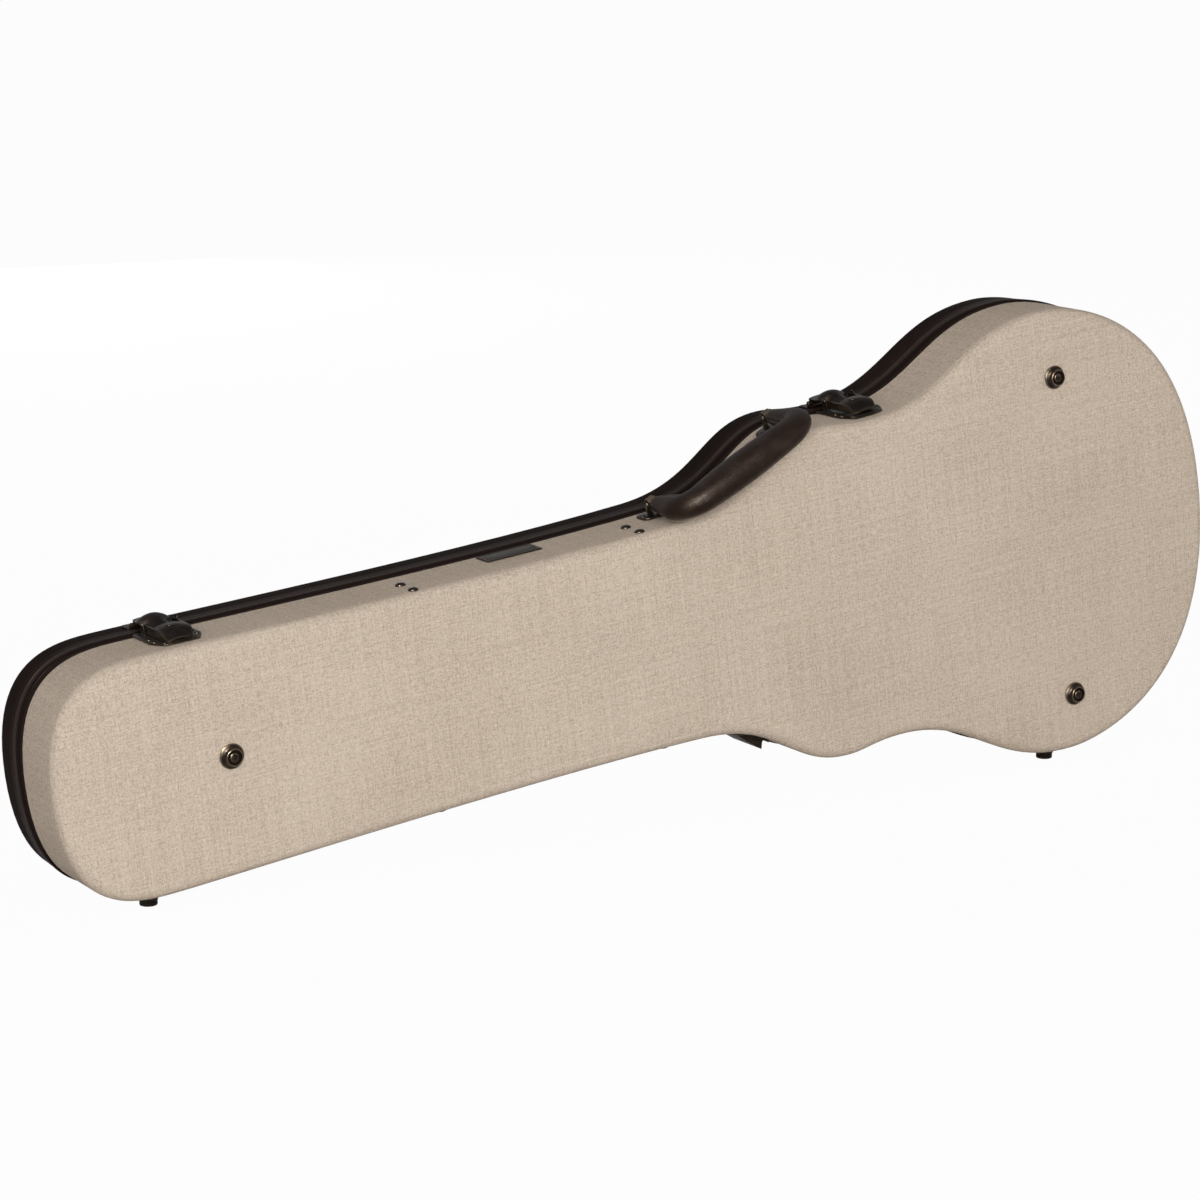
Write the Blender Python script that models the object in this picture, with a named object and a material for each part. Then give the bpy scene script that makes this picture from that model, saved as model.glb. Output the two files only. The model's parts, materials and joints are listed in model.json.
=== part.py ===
# Hard case for a single-cutaway electric guitar, standing on its hinge side with the handle up.
# Case coordinates: u runs along the centre line from the neck end, w from the back face to the lid,
# v across, positive at the handle. They are the object's local X, Y and Z.

import math

import bmesh
import bpy
from mathutils import Matrix, Vector

# Outline of the case, half of it, in metres
CASE_LENGTH = 1.0750
NECK_END_HALF = 0.0925
NECK_CORNER_U = 0.0860
SHOULDER_U = 0.5520
SHOULDER_HALF = 0.0905
SHOULDER_SLOPE = 0.040
UPPER_BOUT_U = 0.6910
UPPER_BOUT_HALF = 0.1399
WAIST_U = 0.7390
WAIST_HALF = 0.1356
LOWER_BOUT_U = 0.9180
LOWER_BOUT_HALF = 0.1918
OUTLINE_STEPS = (6, 3, 6, 3, 6, 8)
OUTLINE_SPREADS = (1.0, 1.0, 1.0, 1.0, 1.104, 1.0)

# Depths from the back face and wall thicknesses
BASE_WALL_TOP = 0.0640
PARTING = 0.0750
LID_RIM_TOP = 0.0837
LID_EDGE = 0.1050
LID_BAND_STRAIGHT = 0.0965
LID_ARCH = 0.0160
NECK_ARCH_SHARE = 0.62
WALL = 0.0050
LID_PANEL = 0.0040
BACK_EDGE_RADIUS = 0.0095
LID_EDGE_INSET = 0.0100
FIT_GAP = 0.0003
PARTING_GAP = 0.0003

# Rims: a bead outside, a tongue on the base that stands inside the lid's rim
RIM_PROUD = 0.0006
BEAD_PROUD = 0.0030
BEAD_HALF = 0.0034
TONGUE_HEIGHT = 0.0045
TONGUE_OUTSIDE = 0.0044
RIM_INSIDE = 0.0066
RIM_LEG = 0.0080
TONGUE_CLEARANCE = 0.0004

# Lining of the base and the lid
LINING_INSET = 0.0070
LINING_WALL = 0.0140
LINING_FLOOR = 0.0140
LINING_TOP = 0.0735
LID_LINING_WALL = 0.0050
LID_LINING_ROOF = 0.0100

# Accessory compartment under the neck
DIVIDER_HEAD_U = 0.3130
DIVIDER_BODY_U = 0.5165
DIVIDER_BOARD = 0.0040
DIVIDER_TOP = 0.0530
DIVIDER_RIVET_DEPTHS = (0.0115, 0.0325)
INNER_CLEARANCE = 0.0010
FLAP_BOARD = 0.0050
FLAP_BOTTOM = 0.0470
FLAP_EDGE_GAP = 0.0025
FLAP_PIVOT_INSET = 0.0045
FLAP_PIN_RADIUS = 0.0012
FLAP_HOLE_DEPTH = 0.0080
RIBBON = 0.0010
PIN_CLEARANCE = 0.0003
BATTEN_WIDTH = 0.0070
BATTEN_DEPTH = 0.0080
NECK_REST_LENGTH = 0.0300
NECK_REST_TOP = 0.0660
NECK_SLOT_HALF = 0.0310
NECK_SLOT_DEPTH = 0.0120

# Feet: three studs on the back, two pairs on the hinge side
BACK_FOOT_RADIUS = 0.0098
BACK_FOOT_HEIGHT = 0.0070
BACK_FOOT_NECK_U = 0.1410
BACK_FOOT_BODY_U = 0.9200
BACK_FOOT_BODY_HALF = 0.1380
SIDE_FOOT_RADIUS = 0.0080
SIDE_FOOT_HEIGHT = 0.0080
SIDE_FOOT_DEPTHS = (0.0205, 0.0500)

# Hinges on the line that touches the neck end and the lower bout
HINGE_LENGTH = 0.0300
HINGE_DEPTH = 0.07515
HINGE_SHEET = 0.0012
HINGE_PIN_RADIUS = 0.0012
HINGE_AXIS_OUT = 0.0037
HINGE_FOOT_GAP = 0.0030
HINGE_LEAF_START = 0.0440
HINGE_LEAF_END = 0.0960
KNUCKLE_GAP = 0.0003
NOTCH_CLEARANCE = 0.0006

# Draw latches: lever on the base, link over the keeper on the lid
LATCH_NECK_U = 0.1220
LATCH_WAIST_U = 0.7450
LATCH_TAIL_SETBACK = 0.0150
LATCH_PLATE_START = 0.0150
LATCH_PLATE_HALF = 0.0212
LATCH_PLATE_TIP_HALF = 0.0150
LATCH_PLATE_SHOULDER = 0.0150
LATCH_PLATE_CORNER = 0.0040
LATCH_SHEET = 0.0012
LEVER_HALF = 0.0130
LEVER_SHEET = 0.0014
LEVER_MOUTH = 0.0050
LEVER_START = 0.0200
LEVER_NOSE = 0.0030
LEVER_PIVOT_DEPTH = 0.0560
LEVER_PIVOT_OUT = 0.0090
LINK_PIVOT_DEPTH = 0.0440
LINK_PIVOT_OUT = 0.0052
LATCH_PIN_RADIUS = 0.0013
LINK_START_HALF = 0.0075
LINK_HUMP_DEPTH = 0.0670
LINK_HUMP_HALF = 0.0130
LINK_HUMP_RISE = 0.0026
LINK_HUMP_CROWN = 0.0054
LINK_END_DEPTH = 0.0912
LINK_END_HALF = 0.0120
LINK_END_CROWN = 0.0006
KEEPER_DEPTH = 0.0875
KEEPER_HEIGHT = 0.0040
KEEPER_CLEARANCE = 0.0004
RIVET_RADIUS = 0.0022
RIVET_SHANK = 0.0018
LATCH_RIVET_SIDE = 0.0174

# Handle, folded towards the back face
HANDLE_LEFT_U = 0.5486
HANDLE_RIGHT_U = 0.6677
HANDLE_DEPTH = 0.0420
HANDLE_LEFT_OUT = 0.0114
HANDLE_RIGHT_OUT = 0.0130
HANDLE_REACH = 0.0580
HANDLE_CORNER = 0.0200
HANDLE_REST_LIFT = 4.0
GRIP_START = 0.0065
GRIP_MID_WIDTH = 0.0170
GRIP_MID_THICK = 0.0120
GRIP_FULLEST = 0.49
GRIP_SWELL = 1.07
GRIP_END_WIDTH = 0.0065
GRIP_END_THICK = 0.0058
EYE_RADIUS = 0.0050
EYE_LENGTH = 0.0070
CORE_HALF = 0.0028
CORE_SHEET = 0.0022
HANDLE_PIN_RADIUS = 0.0020
BRACKET_SHEET = 0.0018
BRACKET_EAR = 0.0016
BRACKET_LENGTH = 0.0260
BRACKET_WIDTH = 0.0180

# Small plates
NAME_PLATE_LENGTH = 0.0500
NAME_PLATE_WIDTH = 0.0210
NAME_PLATE_SHEET = 0.0010
NAME_PLATE_U = 0.4165
NAME_PLATE_DEPTH = 0.0455
GUIDE_U = 0.6050
GUIDE_HEIGHT = 0.0098
GUIDE_SHEET = 0.0038
DIVIDER_RIVET_RADIUS = 0.0036

COLOURS = {
    "linen": ((0.55, 0.46, 0.37), 0.85, 0.0),
    "dark_vinyl": ((0.016, 0.010, 0.008), 0.40, 0.0),
    "rim": ((0.020, 0.014, 0.012), 0.30, 0.0),
    "plush": ((0.16, 0.035, 0.045), 0.95, 0.0),
    "wood": ((0.42, 0.27, 0.15), 0.60, 0.0),
    "bronze": ((0.055, 0.042, 0.030), 0.35, 0.9),
    "leather": ((0.018, 0.011, 0.009), 0.45, 0.0),
    "ribbon": ((0.10, 0.02, 0.03), 0.80, 0.0),
}


# Curves and the wall's outline

def bezier(p0, p1, p2, p3, steps, spread):
    """Points of a curve without its end. A spread over one draws them towards that end."""
    points = []
    for k in range(steps):
        t = spread * k / steps
        s = 1.0 - t
        points.append(p0 * s**3 + p1 * (3 * s * s * t) + p2 * (3 * s * t * t) + p3 * t**3)
    return points


def half_outline():
    """Upper half from the middle of the neck end to the middle of the tail, as 2-D points (u, v)."""
    end = Vector((0.0, 0.0))
    corner = Vector((NECK_CORNER_U, NECK_END_HALF))
    shoulder = Vector((SHOULDER_U, SHOULDER_HALF))
    upper = Vector((UPPER_BOUT_U, UPPER_BOUT_HALF))
    waist = Vector((WAIST_U, WAIST_HALF))
    lower = Vector((LOWER_BOUT_U, LOWER_BOUT_HALF))
    tail = Vector((CASE_LENGTH, 0.0))
    slope = Vector((1.0, SHOULDER_SLOPE))
    along = Vector((1.0, 0.0))
    across = Vector((0.0, 1.0))
    neck = SHOULDER_U - NECK_CORNER_U
    flank = UPPER_BOUT_U - SHOULDER_U
    dip = WAIST_U - UPPER_BOUT_U
    swell = LOWER_BOUT_U - WAIST_U
    round_off = CASE_LENGTH - LOWER_BOUT_U
    handles = (
        (end, end + across * NECK_END_HALF, corner - along * (0.386 * NECK_CORNER_U), corner),
        (corner, corner + along * (0.104 * neck), shoulder - slope * (0.332 * neck), shoulder),
        (shoulder, shoulder + slope * (0.553 * flank), upper - along * (0.404 * flank), upper),
        (upper, upper + along * (0.316 * dip), waist - along * (0.503 * dip), waist),
        (waist, waist + along * (0.453 * swell), lower - along * (0.467 * swell), lower),
        (lower, lower + along * (0.234 * round_off), tail + across * (0.877 * LOWER_BOUT_HALF), tail),
    )
    points = []
    for (p0, p1, p2, p3), steps, spread in zip(handles, OUTLINE_STEPS, OUTLINE_SPREADS):
        points += bezier(p0, p1, p2, p3, steps, spread)
    return points + [tail]


def full_outline():
    upper = half_outline()
    lower = [Vector((p.x, -p.y)) for p in reversed(upper[1:-1])]
    return upper + lower


def mitres(points):
    """Outward vector at each corner of the outline that offsets both facets there by one unit."""
    result = []
    for k, here in enumerate(points):
        before = here - points[k - 1]
        after = points[(k + 1) % len(points)] - here
        n1 = Vector((-before.y, before.x)).normalized()
        n2 = Vector((-after.y, after.x)).normalized()
        result.append((n1 + n2) / (1.0 + n1.dot(n2)))
    return result


OUTLINE = full_outline()
MITRES = mitres(OUTLINE)
HALF_COUNT = sum(OUTLINE_STEPS) + 1


def arc_lengths():
    lengths = [0.0]
    for k in range(1, HALF_COUNT):
        lengths.append(lengths[-1] + (OUTLINE[k] - OUTLINE[k - 1]).length)
    return lengths


ARCS = arc_lengths()


def arc_at(u):
    """Distance along the upper wall, from the neck end, of the place at u."""
    for k in range(1, HALF_COUNT):
        if OUTLINE[k].x >= u:
            share = (u - OUTLINE[k - 1].x) / (OUTLINE[k].x - OUTLINE[k - 1].x)
            return ARCS[k - 1] + share * (ARCS[k] - ARCS[k - 1])
    return ARCS[-1]


def wall_point(arc, side=1):
    """Point of the wall and its outward vector, both as (u, v), at a distance along one side."""
    arc = min(max(arc, 0.0), ARCS[-1])
    k = 1
    while k < HALF_COUNT - 1 and ARCS[k] < arc:
        k += 1
    share = (arc - ARCS[k - 1]) / (ARCS[k] - ARCS[k - 1])
    point = OUTLINE[k - 1].lerp(OUTLINE[k], share)
    out = MITRES[k - 1].lerp(MITRES[k], share)
    return Vector((point.x, side * point.y)), Vector((out.x, side * out.y))


def at(flat, depth):
    return Vector((flat.x, depth, flat.y))


def wall_place(arc, depth, height, side=1):
    point, out = wall_point(arc, side)
    return at(point + out * height, depth)


def wall_loop(inset, depth):
    return [at(p - m * inset, depth) for p, m in zip(OUTLINE, MITRES)]


def half_width(u):
    return wall_point(arc_at(u))[0].y


def support_line():
    """Points of the lower wall on which the case would stand, at the neck end and the lower bout."""
    lower = [Vector((p.x, -p.y)) for p in OUTLINE[:HALF_COUNT]]
    neck = [p for p in lower if p.x < 0.5 * CASE_LENGTH]
    body = [p for p in lower if p.x >= 0.5 * CASE_LENGTH]
    tilt = 0.0
    for _ in range(12):
        down = Vector((-math.sin(tilt), -math.cos(tilt)))
        a = max(neck, key=lambda p: p.dot(down))
        b = max(body, key=lambda p: p.dot(down))
        tilt = math.atan2(a.y - b.y, b.x - a.x)
    return a, b, tilt


STAND_NECK, STAND_BODY, STAND_TILT = support_line()
STAND_DOWN = Vector((-math.sin(STAND_TILT), -math.cos(STAND_TILT)))
STAND_ALONG = Vector((math.cos(STAND_TILT), -math.sin(STAND_TILT)))


# Mesh helpers

def skin(bm, rings, closed=False, caps=True):
    """Joins rings of equal length into one surface. Points that coincide are shared."""
    known = {}

    def vertex(co):
        key = (round(co.x, 7), round(co.y, 7), round(co.z, 7))
        if key not in known:
            known[key] = bm.verts.new(co)
        return known[key]

    def face(corners):
        unique = []
        for v in corners:
            if v not in unique:
                unique.append(v)
        if len(unique) > 2 and not bm.faces.get(unique):
            bm.faces.new(unique)

    loops = [[vertex(co) for co in ring] for ring in rings]
    if closed:
        loops.append(loops[0])
    for a, b in zip(loops, loops[1:]):
        for k in range(len(a)):
            j = (k + 1) % len(a)
            face((a[k], a[j], b[j], b[k]))
    if caps and not closed:
        face(loops[0])
        face(loops[-1])


def prism(bm, points, shift):
    near = [Vector(p) for p in points]
    skin(bm, [near, [p + shift for p in near]])


def lengthwise(bm, section, start, end):
    """Solid of constant section, drawn as (depth, across), between two places along the case."""
    prism(bm, [(start, w, v) for w, v in section], Vector((end - start, 0.0, 0.0)))


def turned(bm, profile, sides, place=Matrix()):
    """A solid turned about the Z axis of a place: profile is (radius, height) from base to tip."""
    rings = []
    for radius, height in profile:
        circle = []
        for k in range(sides):
            angle = 2.0 * math.pi * k / sides
            circle.append(place @ Vector((radius * math.cos(angle), radius * math.sin(angle), height)))
        rings.append(circle)
    skin(bm, rings)


def upright(base, axis):
    """Place at base whose Z axis is the given direction."""
    turn = Vector((0.0, 0.0, 1.0)).rotation_difference(axis).to_matrix().to_4x4()
    return Matrix.Translation(base) @ turn


def rod(bm, start, end, radius, sides=10):
    turned(bm, [(radius, 0.0), (radius, (end - start).length)], sides, upright(start, end - start))


def split(bm, places, notches=()):
    """Cuts a flat plate across X at each place inside it, so that it can bend there, but clear of notches."""
    low = min(v.co.x for v in bm.verts)
    high = max(v.co.x for v in bm.verts)
    for x in places:
        for side in notches:
            if abs(x - side) < NOTCH_CLEARANCE:
                x = side + math.copysign(NOTCH_CLEARANCE, x - side)
        if low + FIT_GAP < x < high - FIT_GAP:
            geometry = bm.verts[:] + bm.edges[:] + bm.faces[:]
            bmesh.ops.bisect_plane(bm, geom=geometry, plane_co=(x, 0, 0), plane_no=(1, 0, 0))


def wrap(bm, arc, side=1):
    """Lays a plate drawn as (along, depth, height) on the wall."""
    for v in bm.verts:
        v.co = wall_place(arc + v.co.x, v.co.y, v.co.z, side)


def plate(bm, outline, low, high, arc, side=1):
    """A plate between two heights on the wall, its outline drawn as (along, depth)."""
    prism(bm, [(x, y, low) for x, y in outline], Vector((0.0, 0.0, high - low)))
    split(bm, [corner - arc for corner in ARCS])
    wrap(bm, arc, side)


def rounded_rectangle(half_x, half_y, radius, centre_y=0.0, steps=3):
    points = []
    for cx, cy, start in ((1, 1, 0), (-1, 1, 90), (-1, -1, 180), (1, -1, 270)):
        for k in range(steps + 1):
            angle = math.radians(start + 90.0 * k / steps)
            x = cx * (half_x - radius) + radius * math.cos(angle)
            y = cy * (half_y - radius) + radius * math.sin(angle)
            points.append((x, y + centre_y))
    return points


def arc_points(centre, radius, start, sweep, steps):
    points = []
    for k in range(steps + 1):
        angle = math.radians(start + sweep * k / steps)
        points.append((centre[0] + radius * math.cos(angle), centre[1] + radius * math.sin(angle)))
    return points


def thick_path(path, thickness):
    """Closed outline of a sheet whose middle follows the path."""
    left = []
    right = []
    for k, point in enumerate(path):
        here = Vector(point)
        ahead = Vector(path[min(k + 1, len(path) - 1)]) - here
        behind = here - Vector(path[max(k - 1, 0)])
        if k == 0:
            behind = ahead
        if k == len(path) - 1:
            ahead = behind
        n1 = Vector((-behind.y, behind.x)).normalized()
        n2 = Vector((-ahead.y, ahead.x)).normalized()
        mitre = (n1 + n2) / (1.0 + n1.dot(n2)) * (0.5 * thickness)
        left.append(here + mitre)
        right.append(here - mitre)
    return left + right[::-1]


# Objects

for old in list(bpy.data.objects):
    bpy.data.objects.remove(old)


def empty(name, parent=None, place=Matrix()):
    made = bpy.data.objects.new(name, None)
    bpy.context.scene.collection.objects.link(made)
    made.parent = parent
    made.matrix_local = place
    return made


CASE = empty("case_frame")


def material(name):
    found = bpy.data.materials.get(name)
    if found:
        return found
    colour, roughness, metallic = COLOURS[name]
    made = bpy.data.materials.new(name)
    made.use_nodes = True
    shader = made.node_tree.nodes["Principled BSDF"]
    shader.inputs["Base Color"].default_value = (*colour, 1.0)
    shader.inputs["Roughness"].default_value = roughness
    shader.inputs["Metallic"].default_value = metallic
    return made


def to_mesh(name, bm):
    bmesh.ops.recalc_face_normals(bm, faces=bm.faces[:])
    mesh = bpy.data.meshes.new(name)
    bm.to_mesh(mesh)
    bm.free()
    return mesh


def show(name, mesh, parent, place=Matrix()):
    piece = bpy.data.objects.new(name, mesh)
    bpy.context.scene.collection.objects.link(piece)
    piece.parent = parent
    piece.matrix_local = place
    return piece


def finished(name, bm, finish, smooth=35.0):
    """A mesh with its material, shaded smooth except at sharp edges."""
    mesh = to_mesh(name, bm)
    mesh.materials.append(material(finish))
    mesh.shade_smooth()
    mesh.set_sharp_from_angle(angle=math.radians(smooth))
    return mesh


def add(name, bm, finish, frame=CASE, axis=None, smooth=35.0):
    """A piece drawn in a frame's coordinates. A moving piece gets its origin at its axis."""
    if axis:
        bmesh.ops.translate(bm, verts=bm.verts[:], vec=-axis.location)
    return show(name, finished(name, bm, finish, smooth), axis or frame)


def combine(piece, name, bm, operation, frame=CASE):
    """Cuts or welds a shape drawn in a frame's coordinates."""
    other = show(name, to_mesh(name, bm), frame)
    other.hide_render = True
    other.display_type = "WIRE"
    modifier = piece.modifiers.new(name, "BOOLEAN")
    modifier.operation = operation
    modifier.solver = "EXACT"
    modifier.object = other


# Base shell, rims, lid band and arched lid

def base_shell():
    edge = arc_points((BACK_EDGE_RADIUS, BACK_EDGE_RADIUS), BACK_EDGE_RADIUS, -90.0, -90.0, 3)
    inner = BACK_EDGE_RADIUS
    profile = edge + [(0.0, BASE_WALL_TOP), (WALL, BASE_WALL_TOP), (WALL, inner), (inner, WALL)]
    bm = bmesh.new()
    skin(bm, [wall_loop(inset, depth) for inset, depth in profile])
    piece = add("base_shell", bm, "linen")
    holes = bmesh.new()
    for _, place in divider_rivet_places():
        inward = place @ Matrix.Translation((0.0, 0.0, -2.0 * WALL))
        turned(holes, [(RIVET_SHANK + PIN_CLEARANCE, 0.0), (RIVET_SHANK + PIN_CLEARANCE, 3.0 * WALL)], 8, inward)
    combine(piece, "divider_rivet_holes", holes, "DIFFERENCE")


def ring(name, profile, finish, axis=None):
    """A closed ring that follows the outline; profile is its section as (inset, depth)."""
    bm = bmesh.new()
    skin(bm, [wall_loop(inset, depth) for inset, depth in profile], closed=True)
    add(name, bm, finish, axis=axis)


def base_rim():
    low = BASE_WALL_TOP + FIT_GAP
    bead = low + BEAD_HALF + FIT_GAP
    half = 0.45 * BEAD_HALF
    ring("base_rim", [
        (-RIM_PROUD, low),
        (-BEAD_PROUD, bead - half),
        (-BEAD_PROUD, bead + half),
        (-RIM_PROUD, bead + BEAD_HALF),
        (-RIM_PROUD, PARTING),
        (TONGUE_OUTSIDE, PARTING),
        (TONGUE_OUTSIDE, PARTING + TONGUE_HEIGHT),
        (RIM_INSIDE, PARTING + TONGUE_HEIGHT),
        (RIM_INSIDE, low - RIM_LEG),
        (WALL + FIT_GAP, low - RIM_LEG),
        (WALL + FIT_GAP, low),
    ], "rim")


def lid_rim(lid):
    low = PARTING + PARTING_GAP
    roof = PARTING + TONGUE_HEIGHT + 2.0 * TONGUE_CLEARANCE
    groove = TONGUE_OUTSIDE - TONGUE_CLEARANCE
    ring("lid_rim", [
        (-RIM_PROUD, low),
        (groove, low),
        (groove, roof),
        (RIM_INSIDE, roof),
        (RIM_INSIDE, LID_RIM_TOP + RIM_LEG),
        (WALL + FIT_GAP, LID_RIM_TOP + RIM_LEG),
        (WALL + FIT_GAP, LID_RIM_TOP),
        (-RIM_PROUD, LID_RIM_TOP),
    ], "rim", lid)


def ledge_depth():
    return LID_EDGE - LID_PANEL - 2.0 * FIT_GAP


def lid_band(lid):
    low = LID_RIM_TOP + FIT_GAP
    shelf = ledge_depth()
    ring("lid_band", [
        (0.0, low),
        (0.0, LID_BAND_STRAIGHT),
        (0.22 * LID_EDGE_INSET, LID_BAND_STRAIGHT + 0.68 * (LID_EDGE - LID_BAND_STRAIGHT)),
        (LID_EDGE_INSET, LID_EDGE),
        (LID_EDGE_INSET, shelf),
        (LID_EDGE_INSET + WALL, shelf),
        (LID_EDGE_INSET + WALL, shelf - LID_PANEL),
        (WALL, shelf - LID_PANEL),
        (WALL, low),
    ], "dark_vinyl", lid)


def spine(point):
    """Place on the centre line towards which the arch of the lid rises."""
    low = 0.9 * NECK_CORNER_U
    high = LOWER_BOUT_U + 0.15 * (CASE_LENGTH - LOWER_BOUT_U)
    return Vector((min(max(point.x, low), high), 0.0))


def arch_rise(u):
    """Rise of the lid's crown: less over the narrow neck, full over the body."""
    share = min(max((u - SHOULDER_U) / (UPPER_BOUT_U - SHOULDER_U), 0.0), 1.0)
    blend = share * share * (3.0 - 2.0 * share)
    return LID_ARCH * (NECK_ARCH_SHARE + (1.0 - NECK_ARCH_SHARE) * blend)


def dome_loop(inset, share, depth):
    """Loop of the arched lid, a share of the way from its edge to the centre line."""
    loop = []
    for p, m in zip(OUTLINE, MITRES):
        top = spine(p)
        rise = arch_rise(top.x) * (1.0 - (1.0 - share) ** 2)
        loop.append(at((p - m * inset).lerp(top, share), depth + rise))
    return loop


def folded_sheet(name, upper, lower, finish, axis):
    """Closed solid between two surfaces that share their first ring and end on the centre line."""
    bm = bmesh.new()
    skin(bm, upper, caps=False)
    skin(bm, lower, caps=False)
    bmesh.ops.remove_doubles(bm, verts=bm.verts[:], dist=0.00001)
    add(name, bm, finish, axis=axis)


def lid_top(lid):
    edge = LID_EDGE_INSET + FIT_GAP
    under = LID_EDGE - LID_PANEL
    first = dome_loop(edge, 0.0, under)
    upper = [first] + [dome_loop(edge, share, LID_EDGE) for share in (0.0, 0.14, 0.34, 0.62, 1.0)]
    lower = [first] + [dome_loop(edge, share, under) for share in (0.34, 1.0)]
    folded_sheet("lid_top", upper, lower, "linen", lid)


def base_lining():
    inner = LINING_INSET + LINING_WALL
    low = WALL + FIT_GAP
    floor = low + LINING_FLOOR
    profile = [
        (LINING_INSET + 0.0050, low),
        (LINING_INSET, low + 0.0050),
        (LINING_INSET, LINING_TOP - 0.0030),
        (LINING_INSET + 0.0040, LINING_TOP),
        (inner - 0.0040, LINING_TOP),
        (inner, LINING_TOP - 0.0040),
        (inner, floor + 0.0060),
        (inner + 0.0060, floor),
    ]
    bm = bmesh.new()
    skin(bm, [wall_loop(inset, depth) for inset, depth in profile])
    add("base_lining", bm, "plush")


def lid_lining(lid):
    """Padded sheet under the arched lid, with a skirt inside the band."""
    low = LID_RIM_TOP + FIT_GAP
    step = ledge_depth() - LID_PANEL - FIT_GAP
    inside = LINING_INSET + LID_LINING_WALL
    past = LID_EDGE_INSET + WALL + FIT_GAP
    under = LID_EDGE - LID_PANEL - FIT_GAP
    roof = under - LID_LINING_ROOF
    first = wall_loop(LINING_INSET, low)
    outer = [first, wall_loop(LINING_INSET, step), wall_loop(past, step)]
    outer += [dome_loop(past, share, under) for share in (0.0, 0.34, 1.0)]
    inner = [first, wall_loop(inside, low), wall_loop(inside, roof - 0.0030)]
    inner += [dome_loop(inside + 0.0040, share, roof) for share in (0.0, 0.34, 1.0)]
    folded_sheet("lid_lining", outer, inner, "plush", lid)


# Accessory compartment

def inner_half(u):
    return half_width(u) - LINING_INSET - LINING_WALL - INNER_CLEARANCE


def floor_depth():
    return WALL + 2.0 * FIT_GAP + LINING_FLOOR


def flap_span():
    margin = 0.5 * DIVIDER_BOARD + INNER_CLEARANCE
    return DIVIDER_HEAD_U + margin, DIVIDER_BODY_U - margin


def flap_half():
    return inner_half(0.5 * (DIVIDER_HEAD_U + DIVIDER_BODY_U)) - FLAP_EDGE_GAP


def flap_pivot(u):
    return Vector((u, FLAP_BOTTOM + 0.5 * FLAP_BOARD, -flap_half() + FLAP_PIVOT_INSET))


def divider(name, centre):
    start = centre - 0.5 * DIVIDER_BOARD
    end = centre + 0.5 * DIVIDER_BOARD
    half = min(inner_half(start), inner_half(end))
    low = floor_depth()
    corner = 0.0060
    section = [
        (low, -half + corner), (low, half - corner), (low + corner, half),
        (DIVIDER_TOP, half), (DIVIDER_TOP, -half), (low + corner, -half),
    ]
    bm = bmesh.new()
    lengthwise(bm, section, start, end)
    piece = add(name, bm, "wood")
    hole = bmesh.new()
    rod(hole, flap_pivot(start - WALL), flap_pivot(end + WALL), FLAP_PIN_RADIUS + PIN_CLEARANCE)
    combine(piece, name + "_pin_hole", hole, "DIFFERENCE")


def compartment_flap(axis):
    start, end = flap_span()
    half = flap_half()
    top = FLAP_BOTTOM + FLAP_BOARD
    nose = 0.3 * FLAP_BOARD
    section = [
        (FLAP_BOTTOM + nose, -half), (FLAP_BOTTOM, -half + nose), (FLAP_BOTTOM, half - nose),
        (FLAP_BOTTOM + nose, half), (top - nose, half), (top, half - nose),
        (top, -half + nose), (top - nose, -half),
    ]
    bm = bmesh.new()
    lengthwise(bm, section, start, end)
    piece = add("compartment_flap", bm, "plush", axis=axis)
    holes = bmesh.new()
    for u in (start, end):
        rod(holes, flap_pivot(u - FLAP_HOLE_DEPTH), flap_pivot(u + FLAP_HOLE_DEPTH), FLAP_PIN_RADIUS + PIN_CLEARANCE)
    combine(piece, "flap_pin_holes", holes, "DIFFERENCE")


def flap_pins():
    length = DIVIDER_BOARD + INNER_CLEARANCE + 0.8 * FLAP_HOLE_DEPTH
    bm = bmesh.new()
    turned(bm, [(FLAP_PIN_RADIUS, 0.0), (FLAP_PIN_RADIUS, length)], 10)
    mesh = finished("flap_pin", bm, "bronze")
    start, end = DIVIDER_HEAD_U - 0.5 * DIVIDER_BOARD, DIVIDER_BODY_U + 0.5 * DIVIDER_BOARD
    show("flap_pin_head", mesh, CASE, upright(flap_pivot(start), Vector((1.0, 0.0, 0.0))))
    show("flap_pin_body", mesh, CASE, upright(flap_pivot(end), Vector((-1.0, 0.0, 0.0))))


def flap_pull(axis):
    """Ribbon tab on the free edge of the flap."""
    centre = 0.5 * (DIVIDER_HEAD_U + DIVIDER_BODY_U)
    middle = FLAP_BOTTOM + FLAP_BOARD + FIT_GAP + 0.5 * RIBBON
    edge = flap_half()
    path = [(middle, edge - 0.0220), (middle, edge - 0.0060), (middle + 0.0032, edge - 0.0010)]
    bm = bmesh.new()
    lengthwise(bm, thick_path(path, RIBBON), centre - 0.0070, centre + 0.0070)
    add("flap_pull", bm, "ribbon", axis=axis)


def flap_batten():
    """Strip along the lining that the flap's free edge closes on."""
    start, end = flap_span()
    half = min(inner_half(start), inner_half(end))
    top = FLAP_BOTTOM - FIT_GAP
    low = top - BATTEN_DEPTH
    section = [(low, half - BATTEN_WIDTH), (top, half - BATTEN_WIDTH), (top, half), (low, half)]
    bm = bmesh.new()
    lengthwise(bm, section, start, end)
    add("flap_batten", bm, "wood")


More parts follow.
